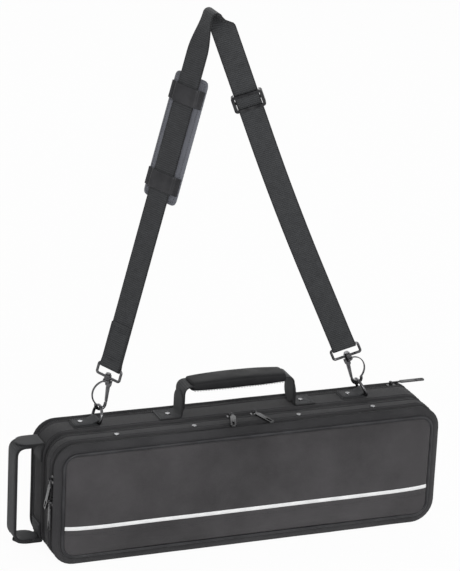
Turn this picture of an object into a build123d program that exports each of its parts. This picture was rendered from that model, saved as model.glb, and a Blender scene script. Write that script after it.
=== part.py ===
"""Soft zipped flute case standing on its base, with the shoulder strap held up.

Millimetres. X runs along the case, Y to its back and Z up, from the middle of the base.
"""

from build123d import *
from math import cos, radians, sin, tan
import os

os.makedirs("parts", exist_ok=True)

# Case body
case_length = 420.0
case_height = 130.0
corner_radius = 24.0
wall = 5.0
back_wall = 4.0
lid_depth = 18.0
shell_depth = 30.0
zip_gap = 7.0
split_y = -5.5
hinge_gap = 0.6
hinge_inset = 14.0
overrun = 2.0
running_gap = 0.3

# Dome of the padded panels, as shares of the panel's height and of its rise
crown_inset_shares = (0.0, 0.1, 0.32, 0.62)
crown_rise_shares = (0.0, 0.55, 0.88, 1.0)

# Zips
tape_thickness = 1.2
tape_inset = 2.0
row_gap = 1.6
zip_end_height = 16.0

# Zip sliders and pulls
slider_length = 9.0
slider_width = 6.2
slider_plate = 1.0
slider_post = 1.0
slider_post_length = 4.0
bail_rise = 2.4
bail_radius = 0.62
bail_span = 5.2
bail_leg = 1.2
bail_width = 2.0
pull_bore = 0.70
pull_eye = 1.7
pull_eye_width = 2.0
pull_neck = 2.4
pull_width = 5.6
pull_thickness = 1.2
pull_slot_width = 2.4
pull_slot_length = 9.0
pull_slot_margin = 2.0
main_slider_left_x = -11.0
main_slider_right_x = 15.0
main_pull_length = 32.0
main_pull_link = 5.0
main_pull_left_angle = -20.0
main_pull_right_angle = 15.0
rear_slider_inset = 26.0
rear_pull_length = 38.0
rear_pull_link = 10.0
pocket_slider_drop = 37.0
pocket_slider_spacing = 24.0
pocket_pull_upper_length = 40.0
pocket_pull_lower_length = 31.0
pocket_pull_link = 6.0
pocket_pull_angle = -25.0

# Fitted tray
trough_fillet = 8.0
trough_floor_fillet = 6.0
body_trough_end_margin = 29.0
body_trough_width = 40.0
body_trough_depth = 20.0
upper_row_end_margin = 19.0
head_trough_width = 32.0
foot_trough_length = 132.0
foot_trough_width = 38.0
upper_trough_depth = 18.0
trough_spacing = 12.0
tray_margin = 9.0

# Lid lining
lid_pad_edge = 3.0
lid_pad_rise = 3.0
lid_pad_border = 6.0
hinge_tape_width = 12.0
hinge_tape_thickness = 0.8

# Front pocket
flap_skin = 3.0
flap_border = 9.0
flap_slope_depth = 4.0
pocket_crown = 6.0
piping_diameter = 3.0
stripe_height = 42.0
stripe_width = 4.0
stripe_thickness = 0.6

# Rear pocket
rear_panel_edge = 3.0
rear_panel_rise = 2.0

# Rivets
rivet_radius = 2.6
rivet_rise = 0.9
front_rivet_places = (-140.0, -57.0, 57.0, 140.0)
front_rivet_y = -21.0

# Carry handle
carry_y = 13.0
webbing_width = 25.0
webbing_thickness = 1.5
handle_leg_x = 60.0
handle_foot_length = 24.0
handle_top_height = 32.0
handle_bend = 8.0
grip_length = 104.0
grip_width = 28.0
grip_cover = 4.5
grip_thickness = 10.0
grip_belly = 3.5
grip_round = 3.0

# End handle
end_arm_inset = 14.0
end_loop_reach = 28.0
end_loop_thickness = 3.0
end_loop_bend = 9.0
end_foot_height = 20.0

# D-rings and their tabs
ring_left_x = -150.0
ring_right_x = 143.0
ring_wire = 1.5
ring_inner_width = 20.0
ring_leg = 4.0
ring_corner = 2.5
ring_tab_width = 17.0
ring_tab_length = 26.0
ring_tab_clearance = 0.08
ring_rivet_share = 0.65

# Snap hooks
hook_wire = 1.6
hook_bow = 5.0
hook_length = 33.3
hook_nose = 3.0
hook_cheek = 2.6
hook_cheek_thickness = 1.0
gate_thickness = 2.2
gate_pin_radius = 0.8
gate_bore = 0.86
gate_eye = 2.0
gate_pivot_offset = 2.6
gate_tip = 2.4
shoulder_radius = 4.2
shoulder_thickness = 2.4
swivel_post = 1.5
swivel_bore = 1.56
swivel_head = 2.6
swivel_head_thickness = 1.5
collar_radius = 3.6
collar_height = 5.0
eye_wire = 1.4
eye_inner_width = 26.6
eye_height = 11.0
eye_corner = 2.1

# Shoulder strap
apex_x = -44.5
apex_z = 566.0
apex_radius = 6.0
left_turn_angle = 58.0
right_turn_angle = 19.0
right_bow = -6.5
knee_length = 80.0
left_twist_length = 40.0
right_twist_length = 18.0
left_doubled_length = 45.0
adjuster_place = 356.0
adjuster_bar = 3.0
adjuster_slot = 4.6
adjuster_thickness = 2.0
adjuster_clearance = 0.7
adjuster_corner = 3.0

# Shoulder pad
pad_place = 300.0
pad_length = 130.0
pad_width = 42.0
pad_thickness = 5.0
pad_corner = 6.0
pad_round = 1.6
band_width = 18.0
band_thickness = 1.2
band_inset = 11.0

# Places worked out from the sizes above
lid_back = split_y - zip_gap / 2
lid_front = lid_back - lid_depth
flap_back = lid_front - zip_gap
shell_front = split_y + zip_gap / 2
shell_back = shell_front + shell_depth
panel_front = shell_back + zip_gap
half_length = case_length / 2
half_height = case_height / 2
tape_drop = tape_inset + tape_thickness
straight_length = case_length - 2 * corner_radius


def upright(y):
    """A plane across the case at depth y, centred on its outline and facing the front."""
    return Plane(origin=(0, y, half_height), x_dir=(1, 0, 0), z_dir=(0, -1, 0))


def save(part, name):
    """Labels one sub-part and writes its STEP file."""
    part.label = name
    export_step(part, f"parts/{name}.step")


def crowned(back_y, edge, rise, length, height, radius, facing=1):
    """A padded panel on the case's outline plane, domed towards the front, or the back with facing -1."""
    with BuildPart() as panel:
        with BuildSketch(upright(back_y)):
            RectangleRounded(length, height, radius)
        for inset_share, rise_share in zip(crown_inset_shares, crown_rise_shares):
            inset = height * inset_share
            with BuildSketch(upright(back_y - facing * (edge + rise * rise_share))):
                RectangleRounded(length - inset, height - inset, radius * (1 - inset_share))
        loft(ruled=True)
    return panel.part


def zip_row(back_y, depth):
    """Half a zip: a thin band just inside the outline, over the top and down both ends."""
    with BuildPart() as row:
        with BuildSketch(upright(back_y)):
            RectangleRounded(
                case_length - 2 * tape_inset,
                case_height - 2 * tape_inset,
                corner_radius - tape_inset,
            )
            RectangleRounded(
                case_length - 2 * tape_drop,
                case_height - 2 * tape_drop,
                corner_radius - tape_drop,
                mode=Mode.SUBTRACT,
            )
            with Locations((0, -half_height)):
                Rectangle(case_length, 2 * zip_end_height, mode=Mode.SUBTRACT)
        extrude(amount=depth)
    return row.part


# Rear half shell: four padded walls, a back wall, and the lower lip that carries the lid's hinge
with BuildPart() as rear_shell:
    with BuildSketch(upright(shell_back)):
        RectangleRounded(case_length, case_height, corner_radius)
    extrude(amount=shell_depth)
    with BuildSketch(upright(shell_back - back_wall)):
        RectangleRounded(case_length - 2 * wall, case_height - 2 * wall, corner_radius - wall)
    extrude(amount=shell_depth, mode=Mode.SUBTRACT)
    with BuildSketch(upright(shell_front)):
        with Locations((0, wall / 2 - half_height)):
            Rectangle(straight_length + 2 * hinge_inset, wall)
    extrude(amount=(zip_gap - hinge_gap) / 2)
    with BuildSketch(upright(shell_back)):
        RectangleRounded(case_length, case_height, corner_radius)
    extrude(amount=case_length, mode=Mode.INTERSECT)
save(rear_shell.part, "rear_shell")

# Foam tray with a fitted trough for each joint of the flute
tray_length = case_length - 2 * wall
tray_height = case_height - 2 * wall
tray_back = shell_back - back_wall
body_trough_length = tray_length - 2 * body_trough_end_margin
lower_row_z = tray_margin + body_trough_width / 2 - tray_height / 2
upper_row_z = tray_height / 2 - tray_margin - foot_trough_width / 2
upper_row_length = tray_length - 2 * upper_row_end_margin
head_trough_length = upper_row_length - trough_spacing - foot_trough_length
head_trough_x = (head_trough_length - upper_row_length) / 2
foot_trough_x = (upper_row_length - foot_trough_length) / 2
with BuildPart() as flute_tray:
    with BuildSketch(upright(tray_back)):
        RectangleRounded(tray_length, tray_height, corner_radius - wall)
    extrude(amount=tray_back - shell_front)
    for x, z, length, width, depth in (
        (0, lower_row_z, body_trough_length, body_trough_width, body_trough_depth),
        (head_trough_x, upper_row_z, head_trough_length, head_trough_width, upper_trough_depth),
        (foot_trough_x, upper_row_z, foot_trough_length, foot_trough_width, upper_trough_depth),
    ):
        with BuildSketch(upright(shell_front + depth)):
            with Locations((x, z)):
                RectangleRounded(length, width, trough_fillet)
        extrude(amount=depth + overrun, mode=Mode.SUBTRACT)
    floors = flute_tray.edges().filter_by_position(
        Axis.Y, shell_front + upper_trough_depth - running_gap, shell_front + body_trough_depth + running_gap
    )
    fillet(floors, trough_floor_fillet)
save(flute_tray.part, "flute_tray")

# Lining tape glued inside along the hinge line
tape_front = split_y - hinge_tape_width / 2
with BuildPart() as hinge_tape:
    with BuildSketch(Plane.XY.offset(wall)):
        with Locations((0, (tape_front + shell_front) / 2)):
            Rectangle(straight_length, shell_front - tape_front)
    extrude(amount=hinge_tape_thickness)
save(hinge_tape.part, "hinge_tape")

# Front half shell: the rivet band, the wall behind the pocket, and the hinge lip
with BuildPart() as lid_shell:
    with BuildSketch(upright(lid_back)):
        RectangleRounded(case_length, case_height, corner_radius)
    extrude(amount=lid_depth)
    with BuildSketch(upright(lid_back)):
        RectangleRounded(case_length - 2 * wall, case_height - 2 * wall, corner_radius - wall)
    extrude(amount=lid_depth - back_wall, mode=Mode.SUBTRACT)
    with BuildSketch(upright(split_y - hinge_gap / 2)):
        with Locations((0, wall / 2 - half_height)):
            Rectangle(straight_length + 2 * hinge_inset, wall)
    extrude(amount=(zip_gap - hinge_gap) / 2)
    with BuildSketch(upright(shell_front)):
        RectangleRounded(case_length, case_height, corner_radius)
    extrude(amount=case_length, mode=Mode.INTERSECT)
save(lid_shell.part, "lid_shell")

# Cushion on the lid's inner wall
lid_pad = crowned(
    lid_front + back_wall,
    lid_pad_edge,
    lid_pad_rise,
    case_length - 2 * wall - 2 * lid_pad_border,
    case_height - 2 * wall - 2 * lid_pad_border,
    corner_radius - wall - lid_pad_border,
    facing=-1,
)
save(lid_pad, "lid_pad")

# Zip rows, each sewn to the edge that carries it
row_depth = (zip_gap - row_gap) / 2
for name, back_y in (
    ("main_zip_rear", shell_front),
    ("main_zip_front", lid_back + row_depth),
    ("rear_zip_inner", shell_back + row_depth),
    ("rear_zip_outer", panel_front),
    ("pocket_zip_inner", lid_front),
    ("pocket_zip_outer", flap_back + row_depth),
):
    save(zip_row(back_y, row_depth), name)

# Front pocket flap: a sloped border round an open back, with the lower lip that hinges on the lid
flap_front = flap_back - flap_slope_depth
panel_length = case_length - 2 * flap_border
panel_height = case_height - 2 * flap_border
panel_radius = corner_radius - flap_border
with BuildPart() as pocket_flap:
    with BuildSketch(upright(flap_back)):
        RectangleRounded(case_length, case_height, corner_radius)
    with BuildSketch(upright(flap_front)):
        RectangleRounded(panel_length, panel_height, panel_radius)
    loft(ruled=True)
    with BuildSketch(upright(flap_back)):
        RectangleRounded(case_length - 2 * flap_skin, case_height - 2 * flap_skin, corner_radius - flap_skin)
    with BuildSketch(upright(flap_front + flap_skin)):
        RectangleRounded(panel_length - 2 * flap_skin, panel_height - 2 * flap_skin, panel_radius - flap_skin)
    loft(ruled=True, mode=Mode.SUBTRACT)
    with BuildSketch(upright(lid_front - running_gap)):
        with Locations((0, flap_skin / 2 - half_height)):
            Rectangle(straight_length + 2 * hinge_inset, flap_skin)
    extrude(amount=zip_gap - running_gap)
    with BuildSketch(upright(shell_front)):
        RectangleRounded(case_length, case_height, corner_radius)
    extrude(amount=case_length, mode=Mode.INTERSECT)
save(pocket_flap.part, "pocket_flap")

# Crowned outer panel of the pocket, inside its piping
pocket_panel = crowned(
    flap_front,
    piping_diameter / 2,
    pocket_crown - piping_diameter / 2,
    panel_length - piping_diameter,
    panel_height - piping_diameter,
    panel_radius - piping_diameter / 2,
)
save(pocket_panel, "pocket_panel")

# Reflective stripe across the panel
stripe_low = stripe_height - stripe_width / 2
with BuildPart() as pocket_stripe:
    add(
        crowned(
            flap_front,
            piping_diameter / 2 + stripe_thickness,
            pocket_crown - piping_diameter / 2,
            panel_length - piping_diameter,
            panel_height - piping_diameter,
            panel_radius - piping_diameter / 2,
        )
    )
    add(pocket_panel, mode=Mode.SUBTRACT)
    with BuildSketch(Plane.XY.offset(stripe_low)):
        with Locations((0, flap_front)):
            Rectangle(panel_length - 2 * piping_diameter, case_height)
    extrude(amount=stripe_width, mode=Mode.INTERSECT)
save(pocket_stripe.part, "pocket_stripe")

# Piping cord sewn round the panel
with BuildPart() as pocket_piping:
    with BuildSketch(upright(flap_front)):
        RectangleRounded(panel_length, panel_height, panel_radius)
        RectangleRounded(
            panel_length - piping_diameter,
            panel_height - piping_diameter,
            panel_radius - piping_diameter / 2,
            mode=Mode.SUBTRACT,
        )
    extrude(amount=piping_diameter / 2)
    fillet(pocket_piping.faces().sort_by(Axis.Y)[0].edges(), piping_diameter / 5)
save(pocket_piping.part, "pocket_piping")

# Padded rear pocket panel with its lower hinge lip
with BuildPart() as rear_pocket_panel:
    add(
        crowned(
            panel_front,
            rear_panel_edge,
            rear_panel_rise,
            case_length,
            case_height,
            corner_radius,
            facing=-1,
        )
    )
    with BuildSketch(upright(panel_front)):
        with Locations((0, rear_panel_edge / 2 - half_height)):
            Rectangle(straight_length + 2 * hinge_inset, rear_panel_edge)
    extrude(amount=zip_gap - running_gap)
    with BuildSketch(upright(panel_front + case_length)):
        RectangleRounded(case_length, case_height, corner_radius)
    extrude(amount=2 * case_length, mode=Mode.INTERSECT)
save(rear_pocket_panel.part, "rear_pocket_panel")


def rivets(places, y, height):
    """Domed rivets at one height, one at each place along the case."""
    with BuildPart() as group:
        with BuildSketch(Plane.XY.offset(height)):
            with Locations([(x, y) for x in places]):
                Circle(rivet_radius)
        extrude(amount=rivet_rise)
        fillet(group.faces().sort_by(Axis.Z)[-len(places):].edges(), rivet_rise / 2)
    return group.part


save(rivets(front_rivet_places, front_rivet_y, case_height), "front_rivets")


slider_top = running_gap - tape_inset
slider_floor = -running_gap - tape_drop
bail_height = slider_top + slider_plate + bail_rise


def zip_slider(plane, bar):
    """A zip slider: a plate over and under both rows, a post between them, and a bail for the pull."""
    side = Plane(origin=plane.origin, x_dir=plane.z_dir.cross(bar), z_dir=bar)
    with BuildPart() as slider:
        with BuildSketch(plane.offset(slider_top)):
            RectangleRounded(slider_length, slider_width, slider_width / 4)
        extrude(amount=slider_plate)
        with BuildSketch(plane.offset(slider_floor)):
            RectangleRounded(slider_length, slider_width, slider_width / 4)
        extrude(amount=-slider_plate)
        with BuildSketch(plane.offset(slider_floor)):
            Rectangle(slider_post_length, slider_post)
        extrude(amount=slider_top - slider_floor)
        with BuildSketch(side.offset(-bail_span / 2), side.offset(bail_span / 2 - bail_leg)):
            with Locations((0, bail_height)):
                Circle(bail_width / 2)
                Rectangle(bail_width, bail_rise, align=(Align.CENTER, Align.MAX))
        extrude(amount=bail_leg)
        with BuildSketch(side.offset(-bail_span / 2)):
            with Locations((0, bail_height)):
                Circle(bail_radius)
        extrude(amount=bail_span)
    return slider.part


def zip_pull(plane, direction, link, length, skew=0):
    """A pull on a slider's bail: an eye, a short link and a slotted tab skewed to the link."""
    face = Plane(origin=plane.origin + plane.z_dir * bail_height, x_dir=direction, z_dir=plane.z_dir)
    eye = Plane(origin=face.origin - face.y_dir * (pull_eye_width / 2), x_dir=direction, z_dir=face.y_dir)
    tab = Plane(face.location * Location((link, 0, 0), (0, 0, skew)))
    tab_length = length - link
    with BuildPart() as pull:
        with BuildSketch(eye):
            Circle(pull_eye)
        extrude(amount=pull_eye_width)
        with BuildSketch(face.offset(-pull_thickness / 2)):
            Rectangle(link + pull_neck / 2, pull_neck, align=(Align.MIN, Align.CENTER))
        extrude(amount=pull_thickness)
        with BuildSketch(tab.offset(-pull_thickness / 2)):
            with Locations((tab_length / 2, 0)):
                RectangleRounded(tab_length, pull_width, pull_width / 3)
            with Locations((tab_length - pull_slot_margin - pull_slot_length / 2, 0)):
                SlotOverall(pull_slot_length, pull_slot_width, mode=Mode.SUBTRACT)
        extrude(amount=pull_thickness)
        with BuildSketch(eye.offset(-overrun)):
            Circle(pull_bore)
        extrude(amount=pull_eye_width + 2 * overrun, mode=Mode.SUBTRACT)
    return pull.part


# Main zip: two sliders that meet over the middle, their pulls lying forward on the lid
forward = Vector(0, -1, 0)
for side, x, skew in (
    ("left", main_slider_left_x, main_pull_left_angle),
    ("right", main_slider_right_x, main_pull_right_angle),
):
    seat = Plane(origin=(x, split_y, case_height), x_dir=(1, 0, 0), z_dir=(0, 0, 1))
    save(zip_slider(seat, seat.x_dir), f"main_slider_{side}")
    save(zip_pull(seat, forward, main_pull_link, main_pull_length, skew), f"main_pull_{side}")

# Rear pocket zip: one slider near the right end, its pull pointing past the corner
rear_slider_x = half_length - rear_slider_inset
rear_seat = Plane(
    origin=(rear_slider_x, shell_back + zip_gap / 2, case_height),
    x_dir=(1, 0, 0),
    z_dir=(0, 0, 1),
)
save(zip_slider(rear_seat, rear_seat.y_dir), "rear_slider")
save(zip_pull(rear_seat, Vector(1, 0, 0), rear_pull_link, rear_pull_length), "rear_pull")

# Front pocket zip: two sliders on the left end, their pulls hanging
downward = Vector(0, 0, -1)
pocket_slider_upper_z = case_height - pocket_slider_drop
pocket_slider_lower_z = pocket_slider_upper_z - pocket_slider_spacing
for side, z, length, skew in (
    ("upper", pocket_slider_upper_z, pocket_pull_upper_length, pocket_pull_angle),
    ("lower", pocket_slider_lower_z, pocket_pull_lower_length, 0),
):
    seat = Plane(origin=(-half_length, lid_front - zip_gap / 2, z), x_dir=(0, 0, 1), z_dir=(-1, 0, 0))
    save(zip_slider(seat, seat.y_dir), f"pocket_slider_{side}")
    save(zip_pull(seat, downward, pocket_pull_link, length, skew), f"pocket_pull_{side}")

# Carry handle: webbing feet sewn to the top, with ends that stand beside the folding loop
foot_top = case_height + webbing_thickness
leg_bottom = foot_top + running_gap
handle_axis_z = leg_bottom + webbing_width / 2
stub_x = handle_leg_x + webbing_thickness / 2 + running_gap
handle_foot_x = stub_x + handle_foot_length / 2
carry_front = carry_y - webbing_width / 2
with BuildPart() as handle_feet:
    with BuildSketch(Plane.XY.offset(case_height)):
        with Locations((handle_foot_x, carry_y), (-handle_foot_x, carry_y)):
            Rectangle(handle_foot_length, webbing_width)
    extrude(amount=webbing_thickness)
    with BuildSketch(Plane.YZ.offset(stub_x), Plane.YZ.offset(-stub_x - webbing_thickness)):
        with Locations((carry_y, handle_axis_z)):
            Circle(webbing_width / 2)
            Rectangle(webbing_width, handle_axis_z - case_height, align=(Align.CENTER, Align.MAX))
    extrude(amount=webbing_thickness)
save(handle_feet.part, "handle_feet")

# Webbing loop of the handle, its legs rounded about the fold line
with BuildPart() as handle_webbing:
    loop_origin = (0, carry_front + webbing_width, leg_bottom)
    with BuildSketch(Plane(origin=loop_origin, x_dir=(1, 0, 0), z_dir=(0, -1, 0))):
        RectangleRounded(2 * handle_leg_x + webbing_thickness, 2 * handle_top_height, handle_bend)
        RectangleRounded(
            2 * handle_leg_x - webbing_thickness,
            2 * (handle_top_height - webbing_thickness),
            handle_bend - webbing_thickness,
            mode=Mode.SUBTRACT,
        )
        Rectangle(case_length, case_height, align=(Align.CENTER, Align.MAX), mode=Mode.SUBTRACT)
    extrude(amount=webbing_width)
    with BuildSketch(Plane.YZ.offset(-half_length)):
        with Locations((carry_y, handle_axis_z)):
            Rectangle(webbing_width, webbing_width, align=(Align.CENTER, Align.MAX))
            Circle(webbing_width / 2, mode=Mode.SUBTRACT)
    extrude(amount=case_length, mode=Mode.SUBTRACT)
save(handle_webbing.part, "handle_webbing")

# Padded grip with its slack underside
webbing_top = leg_bottom + handle_top_height
grip_top = webbing_top - webbing_thickness / 2 + grip_cover
grip_low = grip_top - grip_thickness
with BuildPart() as handle_grip:
    with BuildSketch(Plane.XZ.offset(-carry_y - grip_width / 2)):
        with BuildLine():
            Polyline(
                (grip_length / 2, grip_low),
                (grip_length / 2, grip_top),
                (-grip_length / 2, grip_top),
                (-grip_length / 2, grip_low),
            )
            ThreePointArc(
                (-grip_length / 2, grip_low),
                (0, grip_low - grip_belly),
                (grip_length / 2, grip_low),
            )
        make_face()
    extrude(amount=grip_width)
    grip_faces = handle_grip.faces().sort_by(Axis.Z)
    fillet(grip_faces[-1].edges() + grip_faces[0].edges(), grip_round)
    with BuildSketch(Plane.YZ.offset(-grip_length / 2)):
        with Locations((carry_y, webbing_top)):
            Rectangle(webbing_width, webbing_thickness, align=(Align.CENTER, Align.MAX))
    extrude(amount=grip_length, mode=Mode.SUBTRACT)
save(handle_grip.part, "handle_grip")

# End handle feet: webbing that follows the end's rounded corners, with ends that stand beside the loop's arms
end_axis_x = -half_length - running_gap - webbing_width / 2
end_arm_spacing = case_height - 2 * end_arm_inset
arm_gap = end_loop_thickness / 2 + running_gap
stub_height = end_arm_spacing / 2 + arm_gap
with BuildPart() as end_handle_feet:
    with BuildSketch(upright(carry_front + webbing_width)):
        RectangleRounded(
            case_length + 2 * webbing_thickness,
            case_height + 2 * webbing_thickness,
            corner_radius + webbing_thickness,
        )
        with Locations((end_axis_x, stub_height + webbing_thickness)):
            Rectangle(case_length, end_foot_height, align=(Align.CENTER, Align.MAX), mode=Mode.INTERSECT)
    extrude(amount=webbing_width)
    with BuildSketch(Plane.XY.offset(half_height + stub_height)):
        with Locations((end_axis_x, carry_y)):
            Circle(webbing_width / 2)
            Rectangle(webbing_width, webbing_width, align=(Align.MIN, Align.CENTER))
    extrude(amount=webbing_thickness)
    with BuildSketch(upright(carry_front + webbing_width)):
        RectangleRounded(case_length, case_height, corner_radius)
    extrude(amount=webbing_width, mode=Mode.SUBTRACT)
    mirror(about=Plane.XY.offset(half_height))
save(end_handle_feet.part, "end_handle_feet")

# End handle loop, its arms rounded about the swing line
end_loop_x = -half_length - end_loop_reach
with BuildPart() as end_handle_loop:
    with BuildSketch(upright(carry_front + webbing_width)):
        with Locations((end_loop_x + end_loop_reach, 0)):
            RectangleRounded(2 * end_loop_reach, end_arm_spacing + end_loop_thickness, end_loop_bend)
            RectangleRounded(
                2 * (end_loop_reach - end_loop_thickness),
                end_arm_spacing - end_loop_thickness,
                end_loop_bend - end_loop_thickness,
                mode=Mode.SUBTRACT,
            )
        with Locations((end_axis_x + webbing_width / 2, 0)):
            Rectangle(case_length, case_length, align=(Align.MIN, Align.CENTER), mode=Mode.SUBTRACT)
    extrude(amount=webbing_width)
    with BuildSketch(Plane.XY):
        with Locations((end_axis_x, carry_y)):
            Rectangle(webbing_width, webbing_width, align=(Align.MIN, Align.CENTER))
            Circle(webbing_width / 2, mode=Mode.SUBTRACT)
    extrude(amount=case_height, mode=Mode.SUBTRACT)
save(end_handle_loop.part, "end_handle_loop")

# Where the rings, the hooks and the strap come along each side
ring_bore = ring_wire + ring_tab_clearance
ring_bar_z = case_height + ring_bore + webbing_thickness
ring_bow = ring_inner_width / 2 + ring_wire
hook_bow_place = ring_leg + ring_bow - ring_wire - running_gap - hook_wire + hook_bow
hook_top = hook_length - hook_bow - hook_wire
collar_place = hook_bow_place + hook_top + running_gap + collar_height / 2
eye_bar_place = collar_place + eye_height


class Branch:
    """One side of the strap, from its ring's bar to the apex, with a soft knee and a twist at the top."""

    def __init__(self, bar_x, bow, turn, twist_length, gate_side):
        self.bar = Vector(bar_x, carry_y, ring_bar_z)
        corner = Vector(apex_x, carry_y, apex_z)
        chord = (corner - self.bar).normalized()
        self.knee = (self.bar + corner) / 2 + Vector(chord.Z, 0, -chord.X) * bow
        self.along = (self.knee - self.bar).normalized()
        self.across = Vector(self.along.Z, 0, -self.along.X)
        self.rising = (corner - self.knee).normalized()
        self.reach = (self.knee - self.bar).length
        self.end = self.reach + (corner - self.knee).length
        self.turn = turn
        self.twist_length = twist_length
        self.gate_side = gate_side

    def section(self, place):
        """A cross-section plane of the webbing: x over its width, z along it, y to its back."""
        share = min(max((place - self.reach + knee_length) / (2 * knee_length), 0), 1)
        before = max(self.reach - knee_length - place, 0) + knee_length * (1 - share) ** 2
        after = max(place - self.reach - knee_length, 0) + knee_length * share**2
        heading = (self.along * (1 - share) + self.rising * share).normalized()
        twist = min(max((place - self.end + self.twist_length) / self.twist_length, 0), 1)
        angle = radians(self.turn + (90 - self.turn) * twist)
        flat = Vector(cos(angle), -sin(angle), 0)
        width = (flat - heading * flat.dot(heading)).normalized()
        return Plane(origin=self.knee - self.along * before + self.rising * after, x_dir=width, z_dir=heading)

    def face(self, place):
        """A plane on the webbing: x over its width, y along it, z out of its front."""
        plane = self.section(place)
        return Plane(origin=plane.origin, x_dir=plane.x_dir, z_dir=-plane.y_dir)

    def hook_plane(self, place):
        """The plane that the hook's wire lies in: x across the branch, y along it."""
        return Plane(origin=self.bar + self.along * place, x_dir=self.across, z_dir=(0, -1, 0))


left = Branch(ring_left_x, 0, left_turn_angle, left_twist_length, 1)
right = Branch(ring_right_x, right_bow, right_turn_angle, right_twist_length, -1)
apex_angle = left.rising.get_angle(right.rising)
for branch in (left, right):
    branch.end -= apex_radius / tan(radians(apex_angle / 2))


def round_wire(path, radius):
    """A round wire along a path."""
    with BuildPart() as wire:
        with BuildSketch(Plane(origin=path @ 0, z_dir=path % 0)):
            Circle(radius)
        sweep(path=path)
    return wire.part


for side, branch in (("left", left), ("right", right)):
    # D-ring: a straight bar in the webbing tab, two short legs and a round bow
    half_bar = ring_bow - ring_corner
    ring_plane = Plane(origin=branch.bar, x_dir=(0, 1, 0), z_dir=branch.across)
    with BuildLine(ring_plane) as ring_line:
        Line((0, 0), (half_bar, 0))
        CenterArc((half_bar, ring_corner), ring_corner, -90, 90)
        Line((ring_bow, ring_corner), (ring_bow, ring_leg))
        CenterArc((0, ring_leg), ring_bow, 0, 180)
        Line((-ring_bow, ring_leg), (-ring_bow, ring_corner))
        CenterArc((-half_bar, ring_corner), ring_corner, 180, 90)
        Line((-half_bar, 0), (0, 0))
    save(round_wire(ring_line.wire(), ring_wire), f"d_ring_{side}")

    # Webbing tab sewn to the top and folded round the ring's bar
    with BuildPart() as ring_tab:
        with BuildSketch(Plane.XZ.offset(-carry_y - ring_tab_width / 2)):
            with Locations((branch.bar.X, ring_bar_z)):
                Circle(ring_bore + webbing_thickness)
                Rectangle(ring_tab_length, ring_bar_z - case_height, align=(Align.MAX, Align.MAX))
                Circle(ring_bore, mode=Mode.SUBTRACT)
        extrude(amount=ring_tab_width)
    save(ring_tab.part, f"ring_tab_{side}")

    # Snap hook: nose, bow and spine in one wire, cheeks for the gate's pin, shoulder and swivel post
    gate = branch.gate_side
    hook_plane = branch.hook_plane(hook_bow_place)
    pivot = (gate * gate_pivot_offset, hook_top - shoulder_thickness - running_gap - gate_eye)
    cheek_place = gate_thickness / 2 + running_gap
    with BuildLine(hook_plane) as hook_line:
        Line((gate * hook_bow, hook_nose), (gate * hook_bow, 0))
        ThreePointArc((gate * hook_bow, 0), (0, -hook_bow), (-gate * hook_bow, 0))
        TangentArc((-gate * hook_bow, 0), (0, hook_top - shoulder_thickness / 2), tangent=(0, 1))
    shoulder = Plane(origin=hook_plane.origin + branch.along * hook_top, z_dir=branch.along)
    with BuildPart() as snap_hook:
        add(round_wire(hook_line.wire(), hook_wire))
        with BuildSketch(
            hook_plane.offset(cheek_place),
            hook_plane.offset(-cheek_place - hook_cheek_thickness),
        ):
            with Locations(pivot):
                Circle(hook_cheek)
                Rectangle(2 * hook_cheek, hook_top - pivot[1], align=(Align.CENTER, Align.MIN))
        extrude(amount=hook_cheek_thickness)
        with BuildSketch(hook_plane.offset(-cheek_place)):
            with Locations(pivot):
                Circle(gate_pin_radius)
        extrude(amount=2 * cheek_place)
        with BuildSketch(shoulder):
            Circle(shoulder_radius)
        extrude(amount=-shoulder_thickness)
        with BuildSketch(shoulder):
            Circle(swivel_post)
        extrude(amount=collar_height + 2 * running_gap)
        with BuildSketch(shoulder.offset(collar_height + 2 * running_gap)):
            Circle(swivel_head)
        extrude(amount=swivel_head_thickness)
    save(snap_hook.part, f"snap_hook_{side}")

    # Sprung gate from its pin down to the nose
    with BuildPart() as hook_gate:
        with BuildSketch(hook_plane.offset(-gate_thickness / 2)):
            with Locations(pivot):
                Circle(gate_eye)
            with Locations((gate * hook_bow, hook_nose + running_gap + gate_tip / 2)):
                Circle(gate_tip / 2)
            make_hull()
            with Locations(pivot):
                Circle(gate_bore, mode=Mode.SUBTRACT)
        extrude(amount=gate_thickness)
    save(hook_gate.part, f"hook_gate_{side}")

    # Strap eye: a collar for the swivel and the frame that the webbing is sewn round
    eye_plane = branch.face(collar_place)
    collar = branch.section(collar_place - collar_height / 2)
    eye_width = eye_inner_width + 2 * eye_wire
    with BuildSketch(eye_plane) as eye_outline:
        with Locations((0, eye_height / 2)):
            RectangleRounded(eye_width, eye_height, eye_corner)
    with BuildPart() as hook_eye:
        add(round_wire(eye_outline.sketch.face().outer_wire(), eye_wire))
        with BuildSketch(collar):
            Circle(collar_radius)
        extrude(amount=collar_height)
        with BuildSketch(collar.offset(-overrun)):
            Circle(swivel_bore)
        extrude(amount=collar_height + overrun + running_gap, mode=Mode.SUBTRACT)
    save(hook_eye.part, f"hook_eye_{side}")

tab_rivets_x = [x - ring_tab_length * ring_rivet_share for x in (ring_left_x, ring_right_x)]
save(
    rivets((-handle_foot_x, handle_foot_x), carry_y, foot_top) + rivets(tab_rivets_x, carry_y, ring_bar_z),
    "rear_rivets",
)

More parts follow.
